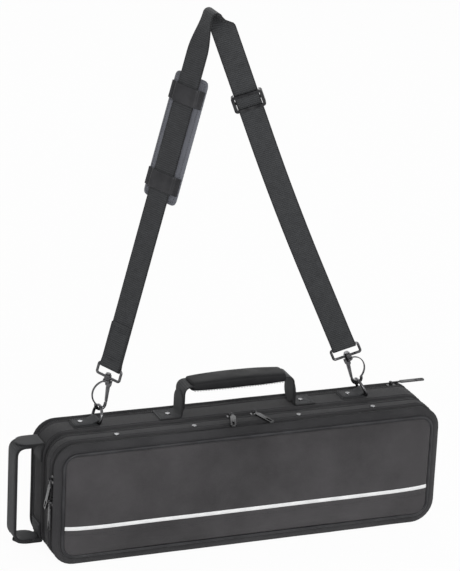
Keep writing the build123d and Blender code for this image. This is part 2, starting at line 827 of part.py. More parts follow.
# The webbing's cross-sections: up the left side, over the apex and down the right side to its eye
adjuster_height = 3 * adjuster_bar + 2 * adjuster_slot
tail_end = adjuster_place - adjuster_height / 2 - running_gap
twist_steps = 5
bow_steps = 7
apex_steps = 8
left_planes = [left.section(eye_bar_place)]
for step in range(twist_steps):
    left_planes.append(left.section(left.end - left_twist_length * (1 - step / twist_steps)))
apex_start = left.section(left.end)
inward = left.across
apex_planes = []
for step in range(apex_steps + 1):
    angle = radians((180 - apex_angle) * step / apex_steps)
    swung = apex_start.origin + inward * (apex_radius * (1 - cos(angle)))
    apex_planes.append(
        Plane(
            origin=swung + left.rising * (apex_radius * sin(angle)),
            x_dir=apex_start.x_dir,
            z_dir=left.rising * cos(angle) + inward * sin(angle),
        )
    )
tail_planes = [
    right.section(eye_bar_place + (tail_end - eye_bar_place) * step / bow_steps)
    for step in range(bow_steps + 1)
]
right_planes = tail_planes + [right.section(adjuster_place + adjuster_height / 2 + running_gap)]
for step in range(twist_steps):
    right_planes.append(right.section(right.end - right_twist_length * (1 - step / twist_steps)))
falling_planes = [Plane(origin=p.origin, x_dir=p.x_dir, z_dir=-p.z_dir) for p in reversed(right_planes)]

# Strap webbing: folded round both eyes and sewn back on itself, as far as the adjuster on the right
with BuildPart() as strap_webbing:
    for plane in left_planes + apex_planes + falling_planes:
        with BuildSketch(plane):
            Rectangle(webbing_width, webbing_thickness, align=(Align.CENTER, Align.MIN))
    loft(ruled=True)
    for plane in tail_planes:
        with BuildSketch(plane):
            Rectangle(webbing_width, webbing_thickness, align=(Align.CENTER, Align.MIN))
    loft(ruled=True)
    with BuildSketch(left_planes[0]):
        Rectangle(webbing_width, webbing_thickness, align=(Align.CENTER, Align.MAX))
    extrude(amount=left_doubled_length)
    for plane in (left_planes[0], tail_planes[0]):
        wrap_origin = plane.origin - plane.x_dir * (webbing_width / 2)
        wrap = Plane(origin=wrap_origin, x_dir=plane.z_dir, z_dir=plane.x_dir)
        with BuildSketch(wrap):
            Circle(eye_wire + webbing_thickness)
        extrude(amount=webbing_width)
        with BuildSketch(wrap.offset(-overrun)):
            Circle(eye_wire)
        extrude(amount=webbing_width + 2 * overrun, mode=Mode.SUBTRACT)
save(strap_webbing.part, "strap_webbing")

# Slide adjuster: outer bars over the webbing's front and the middle bar behind it
adjuster_face = right.face(adjuster_place)
adjuster_inner = webbing_width + 2 * adjuster_clearance
adjuster_back = running_gap + adjuster_thickness
adjuster_reach = adjuster_back + webbing_thickness + running_gap
with BuildPart() as strap_adjuster:
    with BuildSketch(adjuster_face.offset(-adjuster_back)):
        RectangleRounded(adjuster_inner + 2 * adjuster_bar, adjuster_height, adjuster_corner)
        Rectangle(adjuster_inner, adjuster_height - 2 * adjuster_bar, mode=Mode.SUBTRACT)
    extrude(amount=adjuster_reach + adjuster_thickness)
    with BuildSketch(adjuster_face.offset(-adjuster_back)):
        Rectangle(adjuster_inner, adjuster_height)
    extrude(amount=adjuster_reach, mode=Mode.SUBTRACT)
    with BuildSketch(adjuster_face.offset(-adjuster_back)):
        Rectangle(adjuster_inner + adjuster_bar, adjuster_bar)
    extrude(amount=adjuster_thickness)
save(strap_adjuster.part, "strap_adjuster")

# Shoulder pad behind the webbing
pad_face = left.face(pad_place)
pad_front = webbing_thickness + running_gap
with BuildPart() as pad_body:
    with BuildSketch(pad_face.offset(-pad_front)):
        RectangleRounded(pad_width, pad_length, pad_corner)
    extrude(amount=-pad_thickness)
    skins = pad_body.faces().sort_by(Axis(pad_face.origin, pad_face.z_dir))
    fillet(skins[0].edges() + skins[-1].edges(), pad_round)
save(pad_body.part, "pad_body")

# Two bands across the pad that the webbing slides under
band_centre = pad_length / 2 - band_inset - band_width / 2
with BuildPart() as pad_bands:
    for centre in (pad_place - band_centre, pad_place + band_centre):
        with BuildSketch(left.section(centre - band_width / 2)):
            with Locations((0, pad_front)):
                Rectangle(pad_width, band_thickness, align=(Align.CENTER, Align.MAX))
                Rectangle(
                    webbing_width + 2 * (running_gap + band_thickness),
                    pad_front + running_gap + band_thickness,
                    align=(Align.CENTER, Align.MAX),
                )
                Rectangle(
                    webbing_width + 2 * running_gap,
                    pad_front + running_gap,
                    align=(Align.CENTER, Align.MAX),
                    mode=Mode.SUBTRACT,
                )
        extrude(amount=band_width)
save(pad_bands.part, "pad_bands")

print("strap between its rings, flat:", round(left.end + right.end + radians(180 - apex_angle) * apex_radius))
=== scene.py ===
"""Soft zipped flute case with its shoulder strap held up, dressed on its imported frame.

Metres. X runs along the case, Y to its back and Z up, from the middle of the base.
"""

import math
from itertools import accumulate

import bmesh
import bpy
from mathutils import Matrix, Vector, noise
from mathutils.bvhtree import BVHTree


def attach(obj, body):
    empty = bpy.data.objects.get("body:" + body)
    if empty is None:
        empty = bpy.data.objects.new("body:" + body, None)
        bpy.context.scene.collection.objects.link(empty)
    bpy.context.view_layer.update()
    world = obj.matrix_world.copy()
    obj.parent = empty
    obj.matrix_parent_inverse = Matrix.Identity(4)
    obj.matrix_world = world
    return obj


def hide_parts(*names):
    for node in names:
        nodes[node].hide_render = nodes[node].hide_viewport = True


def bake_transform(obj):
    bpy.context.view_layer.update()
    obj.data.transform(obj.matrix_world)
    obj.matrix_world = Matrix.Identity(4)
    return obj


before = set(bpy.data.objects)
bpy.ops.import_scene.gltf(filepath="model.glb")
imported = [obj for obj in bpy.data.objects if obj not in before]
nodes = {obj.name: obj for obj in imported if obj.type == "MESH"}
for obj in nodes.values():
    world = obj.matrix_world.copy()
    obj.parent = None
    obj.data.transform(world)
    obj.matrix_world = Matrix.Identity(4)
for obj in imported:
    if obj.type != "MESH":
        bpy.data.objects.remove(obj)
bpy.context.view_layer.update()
scene = bpy.context.scene
scene.view_settings.view_transform = "Standard"

# Camera. It looks at the case from a little left of its front and from above, with a long lens,
# so that the left end, the top and the whole front show, and the strap rises out of the top.
yaw, pitch, roll = (math.radians(angle) for angle in (22.31, 19.93, 2.75))
image_height = 571
focal_pixels = 3000
aim, drawn_left, raised, distance = Vector((0.010, -0.032, 0)), 0.0244, 0.2616, 3.082
toward = Vector((-math.sin(yaw) * math.cos(pitch), -math.cos(yaw) * math.cos(pitch), math.sin(pitch)))
level = (-toward).cross(Vector((0, 0, 1))).normalized()
upward = level.cross(-toward)
image_right = level * math.cos(roll) + upward * math.sin(roll)
image_up = upward * math.cos(roll) - level * math.sin(roll)
lens = bpy.data.cameras.new("camera")
lens.sensor_fit = "VERTICAL"
lens.sensor_height = 24
lens.lens = lens.sensor_height * focal_pixels / image_height
camera = bpy.data.objects.new("camera", lens)
scene.collection.objects.link(camera)
stand = aim - image_right * drawn_left + image_up * raised + toward * distance
turn = Matrix((image_right, image_up, toward)).transposed().to_4x4()
camera.matrix_world = Matrix.Translation(stand) @ turn
scene.camera = camera

# Studio. A white floor that keeps a faint shadow, a white surround for the camera and for
# reflections, and three soft lamps: a key in front, a fill on the right and one behind.
room_light = 0.37
floor_whiteness = 0.96
lamp_aim = Vector((0, 0, 0.2))


def node(owner, kind, inputs=None, **settings):
    """A shader node with its settings and its inputs, each a value or another node's socket."""
    made = owner.node_tree.nodes.new("ShaderNode" + kind)
    for key, value in settings.items():
        setattr(made, key, value)
    for key, value in (inputs or {}).items():
        if isinstance(value, bpy.types.NodeSocket):
            owner.node_tree.links.new(value, made.inputs[key])
        else:
            made.inputs[key].default_value = value
    return made


def maths(owner, operation, *values):
    """The result of one sum over numbers and other nodes' sockets."""
    return node(owner, "Math", dict(enumerate(values)), operation=operation).outputs[0]


def seen_plainly(owner):
    """1 where a ray comes from the camera, a reflection or clear material, as a socket."""
    path = node(owner, "LightPath")
    total = path.outputs["Is Camera Ray"]
    for output in ("Is Glossy Ray", "Is Transmission Ray"):
        total = maths(owner, "MAXIMUM", total, path.outputs[output])
    return total


def modelled(name, shape):
    """A smooth-shaded piece made from a finished bmesh."""
    mesh = bpy.data.meshes.new(name)
    shape.to_mesh(mesh)
    shape.free()
    mesh.shade_smooth()
    piece = bpy.data.objects.new(name, mesh)
    scene.collection.objects.link(piece)
    return piece


world = bpy.data.worlds.new("studio")
world.use_nodes = True
scene.world = world
backdrop = world.node_tree.nodes["Background"]
backdrop.inputs["Color"].default_value = (1, 1, 1, 1)
strength = maths(world, "MULTIPLY_ADD", seen_plainly(world), 1 - room_light, room_light)
world.node_tree.links.new(strength, backdrop.inputs["Strength"])

floor_shape = bmesh.new()
bmesh.ops.create_grid(floor_shape, x_segments=4, y_segments=4, size=4)
floor = modelled("floor", floor_shape)
floor_paint = bpy.data.materials.new("floor_paint")
floor_paint.use_nodes = True
tree = floor_paint.node_tree
tree.nodes.remove(tree.nodes["Principled BSDF"])
matt = node(floor_paint, "BsdfDiffuse", {"Color": (0.9, 0.9, 0.9, 1)})
glow = node(floor_paint, "Emission", {"Color": (1, 1, 1, 1)})
share = maths(floor_paint, "MULTIPLY", seen_plainly(floor_paint), floor_whiteness)
blend = node(floor_paint, "MixShader", {"Fac": share, 1: matt.outputs[0], 2: glow.outputs[0]})
tree.links.new(blend.outputs[0], tree.nodes["Material Output"].inputs["Surface"])
floor.data.materials.append(floor_paint)

for name, place, size, power in (
    ("key_lamp", (-0.4, -2.4, 1.5), 1.2, 46),
    ("fill_lamp", (2.2, -1.2, 1.0), 1.5, 9),
    ("back_lamp", (0.5, 1.9, 1.7), 1.2, 10),
):
    light = bpy.data.lights.new(name, "AREA")
    light.shape = "DISK"
    light.size = size
    light.energy = power
    lamp = bpy.data.objects.new(name, light)
    scene.collection.objects.link(lamp)
    lamp.location = place
    lamp.rotation_euler = (lamp_aim - Vector(place)).to_track_quat("-Z", "Y").to_euler()

# Rear half of the case. Black woven fabric over stiff foam: a band round the outline with a bound
# edge beside each zip, and a back wall. The flute's tray sits in it and the hinge runs along its foot.
case_length, case_height, case_corner = 0.420, 0.130, 0.024
height_middle = case_height / 2
rear_front, rear_back = -0.002, 0.028
wall, back_wall = 0.005, 0.0038
slack_depth, slack_scale = 0.00025, 28
arc_steps = 8


def outline(inset=0.0, length=case_length, height=case_height, corner=case_corner, spacing=0.007):
    """Points (x, z) and outward directions round the case, drawn in by inset.

    They start where the foot meets the right corner and go up, over the top to the left, and back.
    """
    reach, rise, radius = length / 2 - corner, height / 2 - corner, corner - inset
    corners = ((reach, -rise, -90), (reach, rise, 0), (-reach, rise, 90), (-reach, -rise, 180))

    def on_arc(x, z, degrees):
        out_x, out_z = math.cos(math.radians(degrees)), math.sin(math.radians(degrees))
        return x + radius * out_x, z + radius * out_z + height_middle, out_x, out_z

    points = []
    for (x, z, turned), following in zip(corners, corners[1:] + corners[:1]):
        points += [on_arc(x, z, turned + 90 * step / arc_steps) for step in range(arc_steps + 1)]
        next_x, next_z, out_x, out_z = on_arc(*following)
        first, last = Vector(points[-1][:2]), Vector((next_x, next_z))
        count = max(2, round((last - first).length / spacing))
        for step in range(1, count):
            points.append((*first.lerp(last, step / count), out_x, out_z))
    return points


def ring_at(y, inset):
    """The case's outline at depth y as points, with the slight unevenness of cloth pulled over foam."""
    ring = []
    for x, z, out_x, out_z in outline(inset):
        slack = slack_depth * noise.noise(Vector((x, y, z)) * slack_scale)
        ring.append(Vector((x + out_x * slack, y, z + out_z * slack)))
    return ring


def bridged(shape, near, far):
    """Faces between two closed rows of a bmesh's vertices."""
    for k in range(len(near)):
        n = (k + 1) % len(near)
        shape.faces.new((near[k], near[n], far[n], far[k]))


def skinned(name, rings, joined=False, crease=40, lengths=None, middles=None):
    """One closed mesh piece over a row of rings of points, capped unless its ends are joined.

    Its cloth coordinates run round the rings and along the row, or are given as lengths and middles:
    how far along each ring lies and how far across each of its points.
    """
    shape = bmesh.new()
    rows = [[shape.verts.new(point) for point in ring] for ring in rings]
    count = len(rows[0])
    for near, far in zip(rows, rows[1:] + rows[:1] if joined else rows[1:]):
        bridged(shape, near, far)
    if not joined:
        shape.faces.new(rows[0][::-1])
        shape.faces.new(rows[-1])
    if not lengths:
        spans = [(b - a).length for a, b in zip(rings[0], rings[0][1:])]
        middles = [list(accumulate(spans, initial=0))] * len(rings)
        lengths = list(accumulate(((b[0] - a[0]).length for a, b in zip(rings, rings[1:])), initial=0))
    cloth = shape.loops.layers.uv.new("cloth")
    shape.verts.index_update()
    for face in shape.faces:
        numbers = [corner.vert.index % count for corner in face.loops]
        wraps = 0 in numbers and count - 1 in numbers and len(numbers) == 4
        for corner in face.loops:
            row, k = divmod(corner.vert.index, count)
            across = middles[row][k] + (middles[row][-1] if wraps and k == 0 else 0)
            corner[cloth].uv = (across, lengths[row])
    bmesh.ops.recalc_face_normals(shape, faces=shape.faces)
    piece = modelled(name, shape)
    piece.data.set_sharp_from_angle(angle=math.radians(crease))
    return piece


def covered(name, stations):
    """A band of cloth round the case over (depth, inset) stations."""
    return skinned(name, [ring_at(y, inset) for y, inset in stations])


def settle(piece, material, body, slot, *replaced):
    """Gives a piece its material and the body it moves with, and hides the solids it stands for; the slot is
    not used.
    """
    piece.data.materials.append(material)
    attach(piece, body)
    if replaced:
        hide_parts(*replaced)
    return piece


def surface(name, roughness, **sockets):
    """A new material with its even values set on the shader."""
    material = bpy.data.materials.new(name)
    material.use_nodes = True
    shader = material.node_tree.nodes["Principled BSDF"]
    shader.inputs["Roughness"].default_value = roughness
    for socket, value in sockets.items():
        shader.inputs[socket.replace("_", " ")].default_value = value
    return material


def mottled(material, scale, detail=2.0, output="Fac", **inputs):
    """A noise over the piece, as a socket."""
    place = node(material, "TexCoord").outputs["Object"]
    inputs |= {"Vector": place, "Scale": scale, "Detail": detail}
    return node(material, "TexNoise", inputs).outputs[output]


def shades(material, factor, *stops):
    """A colour that runs between two (place, colour) stops, as a socket."""
    ramp = node(material, "ValToRGB", {"Fac": factor})
    for stop, (place, colour) in zip(ramp.color_ramp.elements, stops):
        stop.position, stop.color = place, (*colour, 1)
    return ramp.outputs["Color"]


def feed(material, **sockets):
    """Links other nodes' sockets into the shader's inputs."""
    shader = material.node_tree.nodes["Principled BSDF"]
    for name, socket in sockets.items():
        material.node_tree.links.new(socket, shader.inputs[name.replace("_", " ")])


def dress(material, colour, height=None, bump=0.3, depth=0.0003):
    """Gives the shader a colour and, where there is one, a bump height."""
    feed(material, Base_Color=colour)
    if height:
        raised = node(material, "Bump", {"Height": height, "Strength": bump, "Distance": depth})
        feed(material, Normal=raised.outputs[0])


def woven(name, light, dark, thread, rough=0.82, sheen=0.08, bump=0.4):
    """Plain-woven cloth: over-and-under threads with painted shade between them, a little fuzz, and slow
    changes of tone.
    """
    material = surface(name, rough, Sheen_Weight=sheen, Sheen_Roughness=0.5, Specular_IOR_Level=0.14)
    laid = node(material, "UVMap", uv_map="cloth").outputs[0]
    drift = {0: mottled(material, 60.0, output="Color"), 1: (thread, thread, 0), 2: laid}
    moved = node(material, "VectorMath", drift, operation="MULTIPLY_ADD").outputs[0]
    turned = node(material, "VectorMath", {0: moved, "Scale": math.tau / thread}, operation="SCALE")
    waves = node(material, "VectorMath", {0: turned.outputs[0]}, operation="SINE").outputs[0]
    crossed = node(material, "VectorMath", {0: waves, 1: (1, 1, 0)}, operation="DOT_PRODUCT")
    weave = crossed.outputs["Value"]
    fuzz = mottled(material, 1400.0, 3.0)
    # The weave lightens the colour on the thread crests and darkens it in the hollows between them: painted
    # shade.
    mixed = maths(material, "MULTIPLY_ADD", weave, 0.10, mottled(material, 11.0, 4.0, Roughness=0.6))
    fuzzy = maths(material, "MULTIPLY_ADD", fuzz, 0.35, mixed)
    height = maths(material, "MULTIPLY_ADD", fuzz, 0.8, weave)
    dress(material, shades(material, fuzzy, (0.35, dark), (1.0, light)), height, bump, thread * 0.35)
    return material


thread_radius, thread_share = 0.00026, 0.36
thread_finish = surface("black_thread", 0.55, Specular_IOR_Level=0.25)
twist = mottled(thread_finish, 900.0)
dress(thread_finish, shades(thread_finish, twist, (0.3, (0.018, 0.018, 0.02)), (0.7, (0.05, 0.05, 0.055))))


def stitched(name, runs, body, slot, spacing=0.0030):
    """Rows of thread stitches. A run is a list of (point, outward) pairs along the seam."""
    shape = bmesh.new()
    half, size = spacing * thread_share, thread_radius
    for run in runs:
        left_over = 0.0
        for (start, out_a), (stop, out_b) in zip(run, run[1:]):
            step = stop - start
            length = step.length
            if length < 1e-6:
                continue
            ahead = step / length
            place = left_over
            while place < length:
                out = out_a.lerp(out_b, place / length).normalized()
                side = ahead.cross(out)
                middle = start + ahead * place + out * size * 0.4
                tips = [shape.verts.new(middle + ahead * half * end - out * size * 0.6) for end in (-1, 1)]
                near, far = (
                    [
                        shape.verts.new(middle + ahead * half * 0.5 * end + (side * a + out * b) * size)
                        for a, b in ((1, 0), (0, 1), (-1, 0), (0, -1))
                    ]
                    for end in (-1, 1)
                )
                bridged(shape, near, far)
                for k in range(4):
                    shape.faces.new((tips[0], near[(k + 1) % 4], near[k]))
                    shape.faces.new((far[k], far[(k + 1) % 4], tips[1]))
                place += spacing
            left_over = place - length
    return settle(modelled(name, shape), thread_finish, body, slot)


def flat_run(points, out):
    """A run of stitch places that all face the same way."""
    return [(point, out) for point in points]


case_cloth = woven("black_case_cloth", (0.056, 0.055, 0.058), (0.018, 0.018, 0.019), 0.0007)
binding, groove = 0.0030, 0.0017
past_binding, thread_sunk = 0.0012, 0.0002
edge_roll = ((0, 0.0030), (0.0001, 0.0016), (0.0005, 0.0007), (0.0012, 0.0001), (0.0021, 0.0001))
edge_groove = ((binding, groove), (binding + 0.0009, 0.0002))


def bound_edge(y, inward):
    """Stations over a bound edge, from its rim at y inwards: a soft roll and then its seam's groove."""
    return [(y + inward * step, inset) for step, inset in edge_roll + edge_groove]


def half_cover(name, floor_y, mouth_y, outer_y, inward, bulge):
    """One half's cloth: its floor and walls inside, and its band between two bound edges outside."""
    inside = wall - 0.0002
    stations = [(floor_y, inside), (mouth_y + inward * 0.0008, inside), (mouth_y, wall - 0.0010)]
    return covered(name, stations + bound_edge(mouth_y, inward) + bulge + bound_edge(outer_y, -inward)[::-1])


def edge_seams(name, body, *edges):
    """Stitches round the case beside each bound edge, given as its depth and its way inwards."""
    runs = []
    for y, inward in edges:
        y = y + inward * binding + inward * past_binding
        run = [(Vector((x, y, z)), Vector((out_x, 0, out_z))) for x, z, out_x, out_z in outline(thread_sunk)]
        runs.append(run + run[:1])
    stitched(name, runs, body, "case_fabric")


middle_y, bulge_half = (rear_front + rear_back) / 2, 0.006
bulge = [(middle_y - bulge_half, 0.0), (middle_y, -0.0002), (middle_y + bulge_half, 0.0)]
rear_cover = half_cover("rear_case_cover", rear_back - back_wall, rear_front, rear_back, 1, bulge)
settle(rear_cover, case_cloth, "base", "case_fabric", "rear_shell")
edge_seams("rear_case_stitches", "base", (rear_front, 1), (rear_back, -1))

# Fitted tray. Foam cut with one trough for each joint of the flute and covered with short-pile lining,
# pressed into the rear half, so its edges are soft and its nap lies unevenly.
tray_grain = 0.0030
tray = bpy.data.objects.new("lined_flute_tray", nodes["flute_tray"].data.copy())
scene.collection.objects.link(tray)
foam = tray.modifiers.new("foam", "REMESH")
foam.mode = "VOXEL"
foam.voxel_size = tray_grain
eased = tray.modifiers.new("eased", "SMOOTH")
eased.factor = 0.5
eased.iterations = 2
bpy.context.view_layer.update()
soft_mesh = bpy.data.meshes.new_from_object(tray.evaluated_get(bpy.context.evaluated_depsgraph_get()))
tray.modifiers.clear()
tray.data = soft_mesh
soft_mesh.name = "lined_flute_tray"
soft_mesh.materials.clear()
for vertex in soft_mesh.vertices:
    vertex.co.y = max(vertex.co.y, rear_front + 0.0001)
soft_mesh.shade_smooth()
lining = surface("short_pile_lining", 0.95, Sheen_Weight=0.3, Sheen_Roughness=0.4, Specular_IOR_Level=0.1)
nap = mottled(lining, 2200.0)
pile = maths(lining, "MULTIPLY_ADD", nap, 0.5, mottled(lining, 22.0, 3.0, Distortion=0.8))
brushed = shades(lining, pile, (0.45, (0.012, 0.012, 0.015)), (1.0, (0.05, 0.05, 0.058)))
dress(lining, brushed, nap, 0.6, 0.0004)
settle(tray, lining, "base", "lining", "flute_tray")

# Hinge web. A strip of the case's cloth joins the two halves along the foot and round its corners, up to
# the ends of the zip's tapes; it is sewn to both.
web_top, web_tuck = 0.0075, 0.0006
lid_back = -0.009


def drawn_in(point, y, depth):
    """A point of the outline at depth y of the case, sunk into its band by depth."""
    x, z, out_x, out_z = point
    return Vector((x - out_x * depth, y, z - out_z * depth))


def foot_strip(name, near, far, thick, lift):
    """A closed strip of cloth along the foot between two depths, drawn in by lift and thick through."""
    folds, dip = 6, 0.0006
    across = [near + (far - near) * k / folds for k in range(folds + 1)]
    section = [(y, lift + dip * math.sin(math.pi * k / folds)) for k, y in enumerate(across)]
    section += [(y, thick) for y in across[::-1]]
    points = outline()
    half = len(points) // 2
    foot = [point for point in points[half:] + points[:half] if point[1] < web_top]
    return skinned(name, [[drawn_in(point, y, depth) for y, depth in section] for point in foot])


hinge_web = foot_strip("hinge_web", lid_back - web_tuck, rear_front + web_tuck, 0.0044, 0.0006)
hinge_web.data.materials.append(case_cloth)
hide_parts("hinge_tape")
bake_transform(hinge_web)

# Front half of the case, the lid. The same cloth and foam as the rear half: a narrower band with its
# bound edges and rivets, closed in front by the wall that the pocket is sewn to.
lid_front = -0.027
lid_wall = 0.004
bulge = [((lid_front + lid_back) / 2, -0.0002)]
lid_cover = half_cover("lid_cover", lid_front + lid_wall, lid_back, lid_front, -1, bulge)
settle(lid_cover, case_cloth, "lid", "case_fabric", "lid_shell")
edge_seams("lid_stitches", "lid", (lid_back, -1), (lid_front, 1))

# Lid cushion. A soft pad of foam in short-pile lining, sewn along its edge, fills the lid's inner wall
# and holds the flute down in its tray.
cushion_edge, cushion_rise = 0.003, 0.00168
stuffing_frames = 20
stuffing = {
    "quality": 6,
    "mass": 0.15,
    "tension_stiffness": 40,
    "compression_stiffness": 30,
    "bending_stiffness": 2.5,
    "use_pressure": True,
    "vertex_group_mass": "sewn",
}


def cushion(name, length, height, corner, edge, rise, to_world, cells=0.0062, marks=()):
    """A padded panel: a domed, round-cornered grid over a flat back, set from (x, height, out) to world."""

    def ticks(size, extra=()):
        straight = size / 2 - corner
        count = max(2, round(2 * straight / cells))
        ends = [straight + corner * k / 4 for k in (1, 2, 3, 4)]
        inner = [-straight + 2 * straight * k / count for k in range(count + 1)]
        inner = [v for v in inner if all(abs(v - e) > cells * 0.3 for e in extra)] + list(extra)
        return sorted([-e for e in ends] + inner + ends)

    def rounded(u, v):
        straight_u, straight_v = length / 2 - corner, height / 2 - corner
        a, b = max(abs(u) - straight_u, 0) / corner, max(abs(v) - straight_v, 0) / corner
        if a > 0 and b > 0:
            a, b = a * math.sqrt(1 - b * b / 2), b * math.sqrt(1 - a * a / 2)
            u, v = math.copysign(straight_u + a * corner, u), math.copysign(straight_v + b * corner, v)
        return u, v

    shape = bmesh.new()
    top = []
    for v in ticks(height, marks):
        row = []
        for u in ticks(length):
            dome = (1 - abs(2 * u / length) ** 16) * (1 - abs(2 * v / height) ** 4)
            row.append(shape.verts.new((*rounded(u, v), edge + rise * dome)))
        top.append(row)
    for near, far in zip(top, top[1:]):
        for k in range(len(near) - 1):
            shape.faces.new((near[k], near[k + 1], far[k + 1], far[k]))
    cloth = shape.loops.layers.uv.new("cloth")
    rim = top[0] + [row[-1] for row in top[1:-1]] + top[-1][::-1] + [row[0] for row in top[-2:0:-1]]
    foot = [shape.verts.new((vert.co.x, vert.co.y, 0)) for vert in rim]
    bridged(shape, foot, rim)
    shape.faces.new(foot[::-1])
    for face in shape.faces:
        for loop in face.loops:
            loop[cloth].uv = (loop.vert.co.x, loop.vert.co.y - loop.vert.co.z)
    piece = modelled(name, shape)
    piece.data.transform(to_world)
    piece["sewn_from"] = len(piece.data.vertices) - len(rim)
    return piece


def smoother(piece):
    """One more subdivision, for an even curve."""
    finer = piece.modifiers.new("finer", "SUBSURF")
    finer.levels = finer.render_levels = 1


def stuffed(piece, pressure, cap):
    """Fills a padded piece by a short cloth simulation, held along its sewn edge, and applies the result."""
    sewn = piece.vertex_groups.new(name="sewn")
    sewn.add(list(range(piece["sewn_from"], len(piece.data.vertices))), 1.0, "REPLACE")
    puff = piece.modifiers.new("stuffing", "CLOTH")
    for key, value in stuffing.items():
        setattr(puff.settings, key, value)
    puff.settings.uniform_pressure_force = pressure
    puff.settings.effector_weights.gravity = 0
    puff.collision_settings.use_collision = False
    for step in range(1, stuffing_frames + 1):
        scene.frame_set(step)
    made = piece.evaluated_get(bpy.context.evaluated_depsgraph_get())
    changes = [after.co - before.co for before, after in zip(piece.data.vertices, made.data.vertices)]
    piece.modifiers.clear()
    for vertex, change in zip(piece.data.vertices, changes):
        vertex.co += change if change.length < cap else change * (cap / change.length)
    scene.frame_set(1)
    smoother(piece)


def upright(y, way):
    """Stands a padded panel on the case's wall at depth y, facing its back (1) or its front (-1)."""
    return Matrix(((-way, 0, 0, 0), (0, 0, way, y), (0, 1, 0, height_middle), (0, 0, 0, 1)))


lid_face = upright(lid_front + lid_wall, 1)
lid_cushion = cushion("lid_cushion", 0.398, 0.108, 0.013, cushion_edge, cushion_rise, lid_face)
stuffed(lid_cushion, 3.0, 0.0022)
settle(lid_cushion, lining, "lid", "lining", "lid_pad")

# Zips. Each is two finely woven tapes with a nylon coil along the free edge, sewn under the bound
# edges over the top and down both ends; the two coils of a zip mesh along its middle.
tape_inset, tape_thick, tape_wide = 0.0020, 0.0011, 0.0027
coil_pitch, coil_reach, coil_thick = 0.0022, 0.0011, 0.0013
zip_foot, zip_spacing = 0.016, 0.012
tooth_section = ((-1, -0.5), (-0.4, -1), (0.4, -1), (1, -0.5), (1, 0.5), (0.4, 1), (-0.4, 1), (-1, 0.5))
tape_cloth = woven("zip_tape_cloth", (0.015, 0.015, 0.016), (0.005, 0.005, 0.006), 0.0005, 0.7, bump=0.3)
coil_nylon = surface("zip_coil_nylon", 0.38, Specular_IOR_Level=0.3)
gleam = mottled(coil_nylon, 500.0)
dress(coil_nylon, shades(coil_nylon, gleam, (0.3, (0.006, 0.006, 0.007)), (0.75, (0.018, 0.018, 0.019))))


def zip_path(inset, foot):
    """The outline from one end's foot, over the top, to the other end's, as points and outward directions."""
    return [point for point in outline(inset, spacing=zip_spacing) if point[1] > foot]


def zip_half(name, sewn_y, inward, half, body, replaced):
    """One tape with its coil: sewn_y is its sewn edge and inward the way to the zip's middle."""
    free_y = sewn_y + inward * tape_wide
    tooth = ((free_y - inward * 0.0012, 0.30), (free_y, 0.34), (free_y + inward * coil_reach, 0.22))
    section = (
        (sewn_y, tape_inset + tape_thick),
        (free_y, tape_inset + tape_thick),
        (free_y, tape_inset),
        (free_y - inward * 0.0005, tape_inset - 0.0002),
        (sewn_y, tape_inset),
    )
    rings = [[drawn_in(point, y, depth) for y, depth in section] for point in zip_path(0, web_top)]
    settle(skinned(name + "_tape", rings), tape_cloth, body, "zip_tape", replaced)
    shape = bmesh.new()
    path = zip_path(tape_inset + tape_thick * 0.4, zip_foot)
    walked, following = 0.0, coil_pitch * (0.25 + 0.5 * half)
    for (x0, z0, ax, az), (x1, z1, bx, bz) in zip(path, path[1:]):
        start, stop = Vector((x0, 0, z0)), Vector((x1, 0, z1))
        length = (stop - start).length
        ahead = (stop - start) / length
        while following < walked + length:
            part = (following - walked) / length
            middle = start.lerp(stop, part)
            out = Vector((ax, 0, az)).lerp(Vector((bx, 0, bz)), part).normalized()
            rows = []
            for y, wide in tooth:
                rows.append([])
                for a, b in tooth_section:
                    spot = middle + ahead * (a * wide * coil_pitch) + out * (b * coil_thick / 2)
                    spot.y = y
                    rows[-1].append(shape.verts.new(spot))
            bridged(shape, rows[0], rows[1])
            bridged(shape, rows[1], rows[2])
            shape.faces.new(rows[0][::-1])
            shape.faces.new(rows[2])
            following += coil_pitch
        walked += length
    bmesh.ops.recalc_face_normals(shape, faces=shape.faces)
    settle(modelled(name + "_coil", shape), coil_nylon, body, "zip_tape")


flap_back, panel_front = -0.034, 0.035
for row in (
    ("main_zip_rear", rear_front, -1, 0, "base", "main_zip_rear"),
    ("main_zip_lid", lid_back, 1, 1, "lid", "main_zip_front"),
    ("rear_zip_case", rear_back, 1, 0, "base", "rear_zip_inner"),
    ("rear_zip_panel", panel_front, -1, 1, "rear_pocket", "rear_zip_outer"),
    ("pocket_zip_lid", lid_front, -1, 0, "lid", "pocket_zip_inner"),
    ("pocket_zip_flap", flap_back, 1, 1, "pocket", "pocket_zip_outer"),
):
    zip_half(*row)

# Front pocket's flap. A border of the case's cloth slopes from its bound zip edge to the panel's piping,
# with a wall behind the panel; along the foot it turns under and is sewn to the lid, which hinges it.
flap_front, flap_wall, border = -0.038, 0.003, 0.009
border_seam, lip_depth, lip_lift = 0.0066, 0.0029, 0.0002
flap_edge = ((0.0006, 0.0036), (0, 0.0026), (0.0001, 0.0012), (0.0005, 0.0004), (0.0012, 0.0001))
flap_slope = ((0.0019, 0.0007), (0.0023, 0.0019), (0.0028, 0.0027), (0.0036, 0.0048))
flap_stations = [(flap_front + flap_wall, border + 0.0028)]
flap_stations += [(flap_back - step, inset) for step, inset in flap_edge + flap_slope]
flap_stations += [(flap_front - 0.0001, 0.0072), (flap_front, border + 0.0006)]
settle(covered("pocket_flap_cover", flap_stations), case_cloth, "pocket", "case_fabric", "pocket_flap")
flap_lip = foot_strip("pocket_hinge_lip", flap_back + 0.0002, lid_front - 0.0003, lip_depth, lip_lift)
settle(flap_lip, case_cloth, "pocket", "case_fabric")
forward = Vector((0, -1, 0))
around = [
    (Vector((x, flap_front + 0.00005, z)), (Vector((out_x, 0, out_z)) * 0.3 + forward).normalized())
    for x, z, out_x, out_z in outline(border_seam)
]
